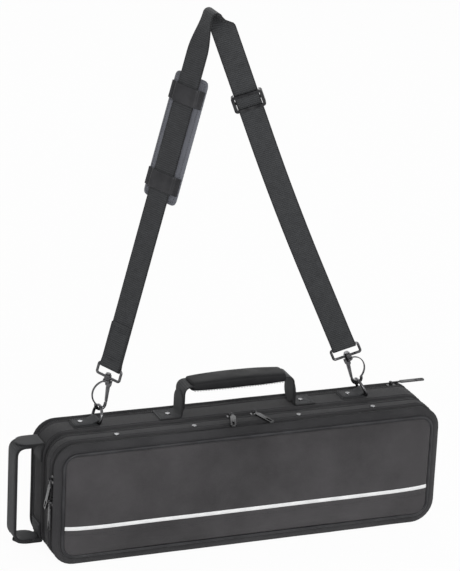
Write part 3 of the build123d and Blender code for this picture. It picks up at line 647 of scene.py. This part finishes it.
stitched("pocket_border_stitches", [around + around[:1]], "pocket", "case_fabric")

# Front pocket's panel. Charcoal woven cloth over soft foam, crowned inside its piping, with one seam
# across it below the reflective tape; the stuffing draws in along the seam.
panel_length, panel_height, panel_corner = 0.399, 0.109, 0.0135
panel_edge, panel_rise = 0.0015, 0.00351
seam_z, seam_depth, seam_spread, seam_end, seam_steps = 0.0335, 0.0009, 0.0011, 0.006, 132
panel_slack = 0.0005
panel_cloth = woven("charcoal_panel_cloth", (0.082, 0.078, 0.082), (0.028, 0.027, 0.028), 0.0007, sheen=0.12)
panel_size = (panel_length, panel_height, panel_corner, panel_edge, panel_rise)
marks = [seam_z - height_middle + d for d in (-0.0022, -0.0008, 0, 0.0008, 0.0022)]
panel = cushion("pocket_padded_panel", *panel_size, upright(flap_front, -1), marks=marks)
stuffed(panel, 3.6, 0.0016)
for vertex in panel.data.vertices:
    x, y, z = vertex.co
    if y < flap_front - 0.0008:
        near_end = min(1, max(0, (panel_length / 2 - abs(x)) / seam_end))
        vertex.co.y += seam_depth * near_end * math.exp(-((abs(z - seam_z) / seam_spread) ** 2))
        vertex.co.y += panel_slack * noise.noise(Vector((x * 14, 3.1, z * 22))) * near_end
settle(panel, panel_cloth, "pocket", "panel_fabric", "pocket_panel")


def skin_of(piece):
    """A piece's finished surface, to lay other pieces on."""
    bpy.context.view_layer.update()
    return BVHTree.FromObject(piece, bpy.context.evaluated_depsgraph_get())


panel_skin = skin_of(panel)


def on_panel(x, z):
    """The point on the panel's face at (x, z) and the face's direction there."""
    spot, direction, _, _ = panel_skin.ray_cast(Vector((x, -0.1, z)), -forward)
    return (Vector((x, flap_front, z)), forward) if spot is None else (spot, direction)


seam_length = panel_length - 0.006
seam_run = [on_panel((k / seam_steps - 0.5) * seam_length, seam_z + 0.0016) for k in range(seam_steps + 1)]
stitched("panel_seam_stitches", [seam_run], "pocket", "panel_fabric")

# Reflective tape. Pale glass-bead tape 4 mm wide, laid straight across the panel above its seam and
# turned in under the piping at both ends; its surface is a little soiled and its edges are rounded.
tape_z, tape_height, tape_rise, tape_steps = 0.042, 0.004, 0.0004, 160
half_section = ((-0.5, -0.0002), (-0.5, 0.0002), (-0.42, tape_rise))
tape_section = (*half_section, (0, tape_rise), *((-share, lift) for share, lift in half_section[::-1]))
rings = []
for k in range(tape_steps + 1):
    x = (k / tape_steps - 0.5) * (panel_length - 0.0026)
    rings.append([on_panel(x, tape_z + tape_height * up)[0] + forward * lift for up, lift in tape_section])


def grained(material, scale, feature="DISTANCE_TO_EDGE"):
    """Fine cells over the piece, as their distances in a socket."""
    inputs = {"Vector": node(material, "TexCoord").outputs["Object"], "Scale": scale}
    return node(material, "TexVoronoi", inputs, feature=feature).outputs["Distance"]


beads = surface("reflective_bead_tape", 0.42, Specular_IOR_Level=0.5)
bead = grained(beads, 2600.0, "F1")
soiled = maths(beads, "MULTIPLY_ADD", bead, 0.25, mottled(beads, 70.0, 5.0))
dress(beads, shades(beads, soiled, (0.3, (0.66, 0.67, 0.68)), (0.8, (0.86, 0.86, 0.86))), bead)
settle(skinned("reflective_tape", rings), beads, "pocket", "reflective", "pocket_stripe")

# Piping. A cord wrapped in smooth leatherette and sewn between the panel and its border, all round the
# panel, where it stands a little proud and is pinched unevenly by its seam.
piping_radius, piping_sides, piping_spacing = 0.0016, 12, 0.004
leatherette = surface("smooth_leatherette", 0.46, Specular_IOR_Level=0.28)
scuff = mottled(leatherette, 55.0, 5.0)
scuffed = shades(leatherette, scuff, (0.35, (0.014, 0.014, 0.016)), (0.75, (0.036, 0.036, 0.039)))
dress(leatherette, scuffed, grained(leatherette, 1100.0), 0.35, 0.0002)
rings = []
for x, z, out_x, out_z in outline(border + piping_radius * 0.55, spacing=piping_spacing):
    radius = piping_radius * (1 + 0.03 * noise.noise(Vector((x, 0, z)) * 260))
    ring = []
    for k in range(piping_sides):
        angle = math.tau * k / piping_sides
        out, back = radius * math.cos(angle), radius * math.sin(angle)
        ring.append(Vector((x + out_x * out, flap_front - 0.0010 + back, z + out_z * out)))
    rings.append(ring)
piping = skinned("panel_piping", rings, joined=True, crease=180)
settle(piping, leatherette, "pocket", "piping", "pocket_piping")

# Rear pocket. A padded panel of the case's cloth closes the back inside a bound edge; along the foot
# it turns under and is sewn to the rear half, which hinges it.
rear_size = (0.4135, 0.1235, 0.0208, 0.0018, 0.0016)
rear_panel = cushion("rear_padded_panel", *rear_size, upright(panel_front + 0.0008, 1))
stuffed(rear_panel, 2.4, 0.0012)
settle(rear_panel, case_cloth, "rear_pocket", "case_fabric", "rear_pocket_panel")
rear_edge = ((0.0009, 0.0120), (0, 0.0040), (0.0001, 0.0014), (0.0007, 0.0003), (0.0016, 0.0001))
rear_edge += ((0.0025, 0.0008), (0.0029, 0.0022), (0.0026, 0.0036), (0.0016, 0.0042))
rear_binding = covered("rear_panel_binding", [(panel_front + step, inset) for step, inset in rear_edge])
settle(rear_binding, case_cloth, "rear_pocket", "case_fabric")
rear_lip = foot_strip("rear_hinge_lip", rear_back + 0.0003, panel_front + 0.0002, lip_depth, lip_lift)
settle(rear_lip, case_cloth, "rear_pocket", "case_fabric")
behind = flat_run([Vector((x, panel_front + 0.0030, z)) for x, z, _, _ in outline(0.0026)], -forward)
stitched("rear_panel_stitches", [behind + behind[:1]], "rear_pocket", "case_fabric")


# Zip sliders and pulls. Cast gunmetal: a slider with a bail on each run, and a slotted pull on its link,
# worn brighter in patches where fingers rub it.
def ranged(material, value, start, stop, low, high):
    """A socket's run from start to stop, laid over the run from low to high."""
    ends = {"Value": value, "From Min": start, "From Max": stop, "To Min": low, "To Max": high}
    return node(material, "MapRange", ends).outputs["Result"]


def metal(name, dull, bright, roughness):
    """Cast or drawn metal with softened edges, faint scratches and handled patches."""
    material = surface(name, roughness, Metallic=0.92, Specular_IOR_Level=0.5)
    scratch = mottled(material, 1500.0, Distortion=2.0)
    rubbed = maths(material, "MULTIPLY_ADD", scratch, 0.3, mottled(material, 180.0, 4.0))
    soft_edge = node(material, "Bevel", {"Radius": 0.00035}, samples=4).outputs[0]
    marks = {"Height": scratch, "Strength": 0.08, "Distance": 0.0001, "Normal": soft_edge}
    feed(
        material,
        Base_Color=shades(material, rubbed, (0.4, dull), (0.95, bright)),
        Roughness=ranged(material, rubbed, 0.3, 1.0, roughness * 0.75, roughness * 1.4),
        Normal=node(material, "Bump", marks).outputs[0],
    )
    return material


def refinish(material, *names):
    """Gives CAD pieces whose shape is right their finish."""
    for name in names:
        mesh = nodes[name].data
        if not mesh.materials:
            mesh.materials.append(material)
        for index in range(len(mesh.materials)):
            mesh.materials[index] = material


gunmetal = metal("gunmetal", (0.030, 0.030, 0.032), (0.12, 0.12, 0.125), 0.30)
polished_pull = metal("polished_pull_metal", (0.016, 0.016, 0.017), (0.10, 0.10, 0.104), 0.20)
refinish(gunmetal, "main_slider_left", "main_slider_right", "rear_slider")
refinish(gunmetal, "pocket_slider_upper", "pocket_slider_lower")
refinish(polished_pull, "main_pull_left", "main_pull_right", "rear_pull")
refinish(polished_pull, "pocket_pull_upper", "pocket_pull_lower")

# Rivets. Bright nickel caps with a low dome, pressed through both bands and through the sewn feet of the
# tabs and the carry handle.
nickel = metal("bright_nickel", (0.12, 0.12, 0.125), (0.36, 0.36, 0.37), 0.20)
refinish(nickel, "front_rivets", "rear_rivets")

# Webbing. All the straps are one kind: black woven webbing with ribs across it and a firm selvage,
# 25 mm wide on the handles and the strap and 17 mm wide on the rings' tabs.
web_wide, web_thick, narrowest = 0.025, 0.0015, 0.002
web_rib, web_thread = 0.0021, 0.0013
carry_y = 0.013
across_y, up = Vector((0, 1, 0)), Vector((0, 0, 1))
half_profile = ((-1, 0.45), (-0.97, 0.85), (-0.9, 1), (-0.45, 0.94))
web_profile = (*half_profile, (0, 0.92), *((-a, h) for a, h in half_profile[::-1]))


def ribbed_webbing(name, light, dark):
    """Woven webbing: ribs across it, fine threads along it, painted shade between them and a tighter, darker
    edge.
    """
    material = surface(name, 0.72, Sheen_Weight=0.08, Sheen_Roughness=0.45, Specular_IOR_Level=0.2)
    cloth = node(material, "SeparateXYZ", {0: node(material, "UVMap", uv_map="cloth").outputs[0]})
    across, along = cloth.outputs["X"], cloth.outputs["Y"]
    wobble = mottled(material, 160.0)
    laid = maths(material, "MULTIPLY_ADD", wobble, web_rib * 0.35, along)
    ribs = maths(material, "SINE", maths(material, "MULTIPLY", laid, math.tau / web_rib))
    threads = maths(material, "SINE", maths(material, "MULTIPLY", across, math.tau / web_thread))
    raised = maths(material, "MULTIPLY_ADD", threads, 0.35, ribs)
    selvage = ranged(material, maths(material, "ABSOLUTE", across), 0.0108, 0.0122, 0.0, -0.3)
    worn = maths(material, "MULTIPLY_ADD", wobble, 0.25, selvage)
    # The raised ribs and threads are painted lighter and the hollows between them darker: painted shade.
    shade = maths(material, "ADD", maths(material, "MULTIPLY_ADD", raised, 0.12, worn), 0.36)
    dress(material, shades(material, shade, (0.15, dark), (0.95, light)), raised, 0.4, 0.00025)
    return material


def webbing(name, line, wide, thick, widths=None):
    """A flat woven strap along a line of (middle, across, outward) with full, slightly beaded edges."""
    spots = [(a, h) for a, h in web_profile] + [(a, -h) for a, h in web_profile[::-1]]
    rings, lengths, middles, walked = [], [], [], 0.0
    for index, (middle, across, out) in enumerate(line):
        if index:
            walked += (middle - line[index - 1][0]).length
        half = (widths[index] if widths else wide) / 2
        rings.append([middle + across * (a * half) + out * (h * thick / 2) for a, h in spots])
        middles.append([a * half for a, _ in spots])
        lengths.append(walked)
    return skinned(name, rings, lengths=lengths, middles=middles, crease=60)


def in_plane(x, z):
    """A point in the upright plane that the handles and the strap's rings share."""
    return Vector((x, carry_y, z))


def bent(points, radius, steps=7):
    """A path through corner points with each corner rounded."""
    path = [points[0]]
    for before, corner, after in zip(points, points[1:], points[2:]):
        back, ahead = before - corner, after - corner
        reach = min(radius, back.length * 0.49, ahead.length * 0.49)
        start, stop = corner + back.normalized() * reach, corner + ahead.normalized() * reach
        for k in range(steps + 1):
            t = k / steps
            path.append(start * (1 - t) ** 2 + corner * (2 * t * (1 - t)) + stop * t**2)
    path.append(points[-1])
    finer = [path[0]]
    for a, b in zip(path, path[1:]):
        count = max(1, math.ceil((b - a).length / 0.004))
        finer += [a.lerp(b, k / count) for k in range(1, count + 1)]
    return finer


def strap_piece(name, path, body, *replaced, wide=web_wide, thick=web_thick * 0.96, cut=None):
    """Webbing along a path in the handles' plane, cut round past a place along x (0) or z (2)."""
    line = []
    for k, point in enumerate(path):
        before, after = path[max(k - 1, 0)], path[min(k + 1, len(path) - 1)]
        line.append((point, across_y, across_y.cross(after - before).normalized()))
    widths = None
    if cut:
        axis, place, way = cut
        past = [max(0, way * (point[axis] - place)) for point in path]
        widths = [2 * math.sqrt(max((web_wide / 2) ** 2 - d**2, (narrowest / 2) ** 2)) for d in past]
    return settle(webbing(name, line, wide, thick, widths), strap_weave, body, "webbing", *replaced)


strap_weave = ribbed_webbing("black_ribbed_webbing", (0.074, 0.077, 0.081), (0.011, 0.011, 0.012))

# Carry handle's feet. Two ends of webbing sewn flat to the top with a crossed box of stitches, each then
# turned up beside the handle's leg and cut round at its end.
leg_x, leg_foot_z, fold_z = 0.060, 0.1318, 0.1443
stub_x, foot_out = 0.06105, 0.02400
foot_z, foot_seam_z, foot_seam_y = case_height + 0.00078, case_height + 0.0016, 0.0102
foot_runs = []
for side, name, *solid in ((-1, "left", "handle_feet"), (1, "right")):
    corners = [
        in_plane(side * (stub_x + foot_out), foot_z),
        in_plane(side * (stub_x + 0.0009), foot_z),
        in_plane(side * (stub_x + web_thick / 2), fold_z + web_wide / 2),
    ]
    strap_piece(f"carry_foot_{name}", bent(corners, 0.0035), "base", *solid, cut=(2, fold_z, 1))
    low, high = side * (stub_x + 0.0042), side * (stub_x + foot_out - 0.0022)
    near, far = carry_y - foot_seam_y, carry_y + foot_seam_y
    box = [Vector((x, y, foot_seam_z)) for x, y in ((low, near), (high, near), (high, far), (low, far))]
    foot_runs += [flat_run(box + box[:1], up), flat_run(box[::2], up), flat_run(box[1::2], up)]
stitched("carry_foot_stitches", foot_runs, "base", "webbing")

# Carry handle's loop. Webbing rises from both feet and runs through the grip; its lower ends are cut
# round, so that the handle folds flat to either side.
loop_top, loop_bend = 0.1638 - web_thick / 2, 0.0085
corners = [in_plane(x, z) for x, z in ((-leg_x, leg_foot_z + 0.0002), (-leg_x, loop_top))]
corners += [Vector((-corner.x, corner.y, corner.z)) for corner in corners[::-1]]
path = bent(corners, loop_bend)
strap_piece("carry_handle_webbing", path, "handle", "handle_webbing", cut=(2, fold_z, -1))

# Grip. Foam wrapped in grained leatherette, sewn along both edges of its underside and turned in round
# the webbing at its ends; its top arches a little between them.
grip_half, grip_wide = 0.052, 0.0138
grip_top_z, grip_low_z, grip_belly, grip_arch = 0.16695, 0.15695, 0.0010, 0.0022
grip_turn, grip_ripple, grip_steps, grip_sides = 0.0022, 0.00022, 34, 28
grip_seam_y, grip_seam_steps = 0.0100, 40
grip_hide = surface("grained_grip_leatherette", 0.6, Specular_IOR_Level=0.14)
shine = mottled(grip_hide, 38.0, 4.0)
worn = shades(grip_hide, shine, (0.3, (0.007, 0.007, 0.008)), (0.75, (0.017, 0.017, 0.018)))
dress(grip_hide, worn, grained(grip_hide, 620.0), 0.5, 0.0003)
feed(grip_hide, Roughness=ranged(grip_hide, shine, 0.3, 0.7, 0.50, 0.70))
rings = []
for k in range(grip_steps + 1):
    t = 2 * k / grip_steps - 1
    x = grip_half * math.sin(t * math.pi / 2) if abs(t) < 0.999 else grip_half * t
    end = max(0, (abs(x) - (grip_half - grip_turn)) / grip_turn)
    bow = 1 - (x / grip_half) ** 2
    low, top = grip_low_z - grip_belly * bow, grip_top_z + grip_arch * bow
    half_wide = grip_wide * (1 - 0.10 * (x / grip_half) ** 4) * (1 - 0.34 * end**2)
    half_high = (top - low) / 2 * (1 - 0.28 * end**2)
    ring = []
    for s in range(grip_sides):
        c, n = math.cos(math.tau * s / grip_sides), math.sin(math.tau * s / grip_sides)
        power = 0.52 if n > 0 else 0.66
        wide, high = (math.copysign(abs(v) ** power, v) * h for v, h in ((c, half_wide), (n, half_high)))
        ripple = grip_ripple * noise.noise(Vector((x * 60, c * 1.5, n * 1.5)))
        ring.append(Vector((x, carry_y + wide * (1 + ripple * 20), (top + low) / 2 + high + ripple)))
    rings.append(ring)
grip = skinned("carry_grip", rings, crease=70)
smoother(grip)
settle(grip, grip_hide, "handle", "grip_leatherette", "handle_grip")
edge_runs = []
for side in (-1, 1):
    run = []
    for k in range(grip_seam_steps + 1):
        x = (k / grip_seam_steps - 0.5) * 2 * (grip_half - 0.004)
        low = grip_low_z - grip_belly * (1 - (x / grip_half) ** 2)
        run.append(Vector((x, carry_y + side * grip_seam_y, low + 0.0005)))
    edge_runs.append(flat_run(run, Vector((0, 0.35 * side, -1)).normalized()))
stitched("grip_stitches", edge_runs, "handle", "grip_leatherette")

# End handle's feet. Webbing sewn round the left end's upper and lower corners, each with a rounded end
# turned out beside the loop's arm.
end_axis_x, end_loop_x, arm_z = -0.2228, -0.238, 0.051
stub_z, stub_foot_x, end_seam_y = 0.0528 + web_thick / 2, -0.2078, 0.0105
outward = Vector((-1, 0, 0))
foot_runs = []
for side, name, *solid in ((1, "top", "end_handle_feet"), (-1, "bottom")):
    hold = [
        in_plane(x - 0.00078, height_middle + side * abs(z - height_middle))
        for x, z, _, _ in outline()
        if x < -0.2 and 0.0985 < z < 0.1170
    ]
    hold.sort(key=lambda point: side * point.z)
    stub = [in_plane(x, height_middle + side * stub_z) for x in (stub_foot_x, end_axis_x - web_wide / 2)]
    path = hold[:-1] + bent(hold[-1:] + stub, 0.0016, steps=4)
    strap_piece(f"end_foot_{name}", path, "base", *solid, cut=(0, end_axis_x, -1))
    for shift in (-end_seam_y, end_seam_y):
        foot_runs.append(flat_run([point + Vector((-0.0008, shift, 0)) for point in hold], outward))
stitched("end_foot_stitches", foot_runs, "base", "webbing")

# End handle's loop. Doubled webbing with bound edges, standing out from the left end between its feet;
# the ends of its arms are cut round, so that it swings to either side.
arm_foot_x, end_bend, doubled_thick, arm_seam_y = -0.2105, 0.0100, 0.0029, 0.0095
corners = [in_plane(x, height_middle + arm_z) for x in (arm_foot_x, end_loop_x + 0.0015)]
corners += [in_plane(corner.x, height_middle - arm_z) for corner in corners[::-1]]
path = bent(corners, end_bend)
loop = {"thick": doubled_thick, "cut": (0, end_axis_x, 1)}
strap_piece("end_handle_webbing", path, "end_handle", "end_handle_loop", **loop)
arm_runs = [[], []]
for point in path:
    if point.x < end_axis_x:
        rise = point.z - height_middle
        out = outward if abs(rise) < 0.04 else Vector((-0.6, 0, math.copysign(0.8, rise)))
        for run, shift in zip(arm_runs, (-arm_seam_y, arm_seam_y)):
            run.append((point + out * 0.0015 + Vector((0, shift, 0)), out))
stitched("end_handle_stitches", arm_runs, "end_handle", "webbing")

# D-rings' tabs. A short loop of narrower webbing holds each ring's bar; its two layers lie on each other
# on the case's top, where they are sewn in a box and riveted.
ring_bar_z, tab_wide, tab_long = 0.13308, 0.017, 0.026
turn_radius = 0.00158 + web_thick / 2
tab_low_z, tab_high_z, tab_seam_z = case_height + 0.00076, case_height + 0.00232, case_height + 0.0032
tab_seam_y, tab_spacing = 0.0065, 0.0026
tab_runs = []
for name, bar_x in (("left", -0.150), ("right", 0.143)):
    path = [in_plane(bar_x - tab_long, tab_low_z), in_plane(bar_x - 0.004, tab_low_z)]
    for degrees in range(-90, 91, 15):
        turn_x, turn_z = math.cos(math.radians(degrees)), math.sin(math.radians(degrees))
        path.append(in_plane(bar_x + turn_radius * turn_x, ring_bar_z + turn_radius * turn_z))
    path += [
        in_plane(bar_x - 0.0020, ring_bar_z + turn_radius - 0.0005),
        in_plane(bar_x - 0.0050, ring_bar_z + 0.0005),
        in_plane(bar_x - 0.0075, tab_high_z),
        in_plane(bar_x - tab_long + 0.0008, tab_high_z),
    ]
    strap_piece(f"ring_tab_webbing_{name}", path, "base", f"ring_tab_{name}", wide=tab_wide)
    sides = (carry_y - tab_seam_y, carry_y + tab_seam_y)
    for y in sides:
        tab_runs.append(flat_run([Vector((bar_x - x, y, tab_seam_z)) for x in (0.0085, 0.0245)], up))
    for x in (0.0090, 0.0240):
        tab_runs.append(flat_run([Vector((bar_x - x, y, tab_seam_z)) for y in sides], up))
stitched("ring_tab_stitches", tab_runs, "base", "webbing", tab_spacing)

# D-rings, snap hooks, gates, strap eyes and adjuster. Round wire and castings in black nickel, which
# shows pale lines of light along its edges.
black_nickel = metal("black_nickel", (0.035, 0.035, 0.038), (0.15, 0.15, 0.155), 0.20)
for kind in ("d_ring", "snap_hook", "hook_gate", "hook_eye"):
    refinish(black_nickel, f"{kind}_left", f"{kind}_right")
adjuster_nickel = metal("satin_adjuster_metal", (0.016, 0.016, 0.018), (0.06, 0.06, 0.062), 0.34)
refinish(adjuster_nickel, "strap_adjuster")


# Shoulder strap. One length of webbing: folded round the left hook's eye and sewn back on itself, up over
# a twist at the top where the strap is held, down through the adjuster and round the right eye.
class StrapSide:
    """One side of the strap, from its ring's bar to the top, with a soft knee and a twist near the top."""

    knee_length = 0.080
    top = Vector((-0.0445, carry_y, 0.566))

    def __init__(self, bar_x, bow, turn, twist_length, trim):
        self.bar = Vector((bar_x, carry_y, ring_bar_z))
        chord = (self.top - self.bar).normalized()
        self.knee = (self.bar + self.top) / 2 + Vector((chord.z, 0, -chord.x)) * bow
        self.along = (self.knee - self.bar).normalized()
        self.rising = (self.top - self.knee).normalized()
        self.reach = (self.knee - self.bar).length
        self.end = self.reach + (self.top - self.knee).length - trim
        self.turn, self.twist_length = turn, twist_length

    def section(self, place):
        """Middle, across, back and along directions of the webbing at a place along this side."""
        bend = self.knee_length
        share = min(max((place - self.reach + bend) / (2 * bend), 0), 1)
        before = max(self.reach - bend - place, 0) + bend * (1 - share) ** 2
        after = max(place - self.reach - bend, 0) + bend * share**2
        heading = (self.along * (1 - share) + self.rising * share).normalized()
        twist = min(max((place - self.end + self.twist_length) / self.twist_length, 0), 1)
        twist = twist * twist * (3 - 2 * twist)
        angle = math.radians(self.turn + (90 - self.turn) * twist)
        flat = Vector((math.cos(angle), -math.sin(angle), 0))
        across = (flat - heading * flat.dot(heading)).normalized()
        return self.knee - self.along * before + self.rising * after, across, heading.cross(across), heading


apex_radius, apex_degrees = 0.006, 35.535
apex_trim = apex_radius / math.tan(math.radians(apex_degrees / 2))
left_side = StrapSide(-0.150, 0, 58, 0.040, apex_trim)
right_side = StrapSide(0.143, -0.0065, 19, 0.018, apex_trim)
eye_bar, doubled, tail_end = 0.0576, 0.045, 0.3466
half_layer = web_thick / 2
wrap_radius, wrap_steps, wrap_ease = 0.0014 + half_layer, 10, 0.010
apex_steps = 14


def layer(side, places, face):
    """Webbing line on one face of a strap side; face is 1 for the back and -1 for the front."""
    line = []
    for place in places:
        middle, across, back, _ = side.section(place)
        near_eye = max(0, 1 - (place - eye_bar) / wrap_ease)
        apart = half_layer + (wrap_radius - half_layer) * near_eye**2
        line.append((middle + back * (face * apart), across, back * face))
    return line


def wrap(side):
    """The half turn round an eye's bar, from the front layer under the bar to the back layer."""
    middle, across, back, heading = side.section(eye_bar)
    line = []
    for k in range(1, wrap_steps):
        angle = math.pi * k / wrap_steps
        out = -back * math.cos(angle) - heading * math.sin(angle)
        line.append((middle + out * wrap_radius, across, out))
    return line


def places(start, stop, spacing=0.004):
    """Even places from start to stop."""
    count = max(1, math.ceil(abs(stop - start) / spacing))
    return [start + (stop - start) * k / count for k in range(count + 1)]


line = layer(left_side, places(eye_bar + doubled, eye_bar, 0.003), -1) + wrap(left_side)
line += layer(left_side, places(eye_bar, left_side.end), 1)
start_middle, start_across, inward, rising = left_side.section(left_side.end)
for k in range(1, apex_steps):
    angle = math.radians(180 - apex_degrees) * k / apex_steps
    out = inward * math.cos(angle) - rising * math.sin(angle)
    over, rise = apex_radius * (1 - math.cos(angle)), apex_radius * math.sin(angle)
    line.append((start_middle + inward * over + rising * rise + out * half_layer, start_across, out))
line += layer(right_side, places(right_side.end, eye_bar), -1) + wrap(right_side)
line += layer(right_side, places(eye_bar, tail_end), 1)
strap = webbing("shoulder_strap_webbing", line, web_wide, web_thick * 0.97)
settle(strap, strap_weave, "strap", "webbing", "strap_webbing")

seam_across, seam_lift = 0.0105, web_thick + 0.0001
fold_start, fold_stop = eye_bar + 0.0075, eye_bar + doubled - 0.004
strap_runs = []
for side, place, face in (
    (left_side, fold_start, -1),
    (left_side, fold_start + 0.003, -1),
    (left_side, fold_stop, -1),
    (left_side, fold_stop - 0.003, -1),
    (right_side, tail_end - 0.005, 1),
):
    middle, across, back, _ = side.section(place)
    seam = middle + back * (face * seam_lift)
    strap_runs.append(flat_run([seam + across * shift for shift in (-seam_across, seam_across)], back * face))
for shift in (-seam_across, seam_across):
    run = []
    for place in places(fold_start, fold_stop):
        middle, across, back, _ = left_side.section(place)
        run.append((middle - back * seam_lift + across * shift, -back))
    strap_runs.append(run)
stitched("strap_stitches", strap_runs, "strap", "webbing")

# Shoulder pad. A flat foam pad in smooth dark fabric with a sewn, rounded margin; the webbing slides
# over it under two bands.
pad_place, pad_long, pad_wide, pad_thick, pad_corner = 0.300, 0.130, 0.042, 0.005, 0.006
pad_front, pad_margin, pad_spacing = 0.0018, 0.0034, 0.0026
middle, across, back, along = left_side.section(pad_place)
pad_foot = middle + back * (pad_front + pad_thick)
pad_to_world = Matrix.Translation(pad_foot) @ Matrix((across, along, -back)).transposed().to_4x4()
pad_size = (pad_wide, pad_long, pad_corner, pad_thick * 0.62, pad_thick * 0.30)
pad_finish = {"rough": 0.55, "sheen": 0.2, "bump": 0.25}
pad_cloth = woven("smooth_pad_fabric", (0.17, 0.175, 0.20), (0.055, 0.058, 0.067), 0.0006, **pad_finish)
pad = cushion("shoulder_pad_body", *pad_size, pad_to_world, cells=0.0042)
stuffed(pad, 2.0, 0.0004)
settle(pad, pad_cloth, "pad", "pad_fabric", "pad_body")
pad_skin = skin_of(pad)
margin = []
for x, z, _, _ in outline(pad_margin, pad_wide, pad_long, pad_corner, spacing=0.005):
    above = pad_to_world @ Vector((x, z - height_middle, 0.02))
    spot, _, _, _ = pad_skin.ray_cast(above, back)
    if spot is not None:
        margin.append((spot, -back))
stitched("pad_margin_stitches", [margin + margin[:1]], "pad", "pad_fabric", pad_spacing)

# Pad's bands. Smooth leatherette straps sewn to the pad's margins at both ends of it, arched over the
# webbing so that the pad can be moved along the strap.
band_wide, band_thick, band_away = 0.018, 0.0012, 0.045
band_seam, band_inset = 0.0178, 0.001
half_arch = ((-0.0205, -0.0014), (-0.0178, -0.0006), (-0.0147, -0.0003), (-0.0131, 0.0024))
arch = (*half_arch, *((-reach, lift) for reach, lift in half_arch[::-1]))
band_runs = []
for name, shift, *solid in (("lower", -band_away, "pad_bands"), ("upper", band_away)):
    middle, across, back, along = left_side.section(pad_place + shift)
    corners = [
        middle + across * reach - back * (lift - pad_front + band_thick / 2 + 0.0001) for reach, lift in arch
    ]
    path = bent(corners, 0.0012, steps=4)
    band_line = []
    for k, point in enumerate(path):
        ahead = path[min(k + 1, len(path) - 1)] - path[max(k - 1, 0)]
        band_line.append((point, along, ahead.cross(along).normalized()))
    band = webbing(f"pad_band_{name}", band_line, band_wide, band_thick)
    settle(band, leatherette, "pad", "piping", *solid)
    for side in (-1, 1):
        edge = middle + across * (side * band_seam) - back * (band_thick + 0.0002 - pad_front)
        ends = (-band_wide / 2 + band_inset, band_wide / 2 - band_inset)
        band_runs.append(flat_run([edge + along * end for end in ends], -back))
stitched("pad_band_stitches", band_runs, "pad", "piping", pad_spacing)
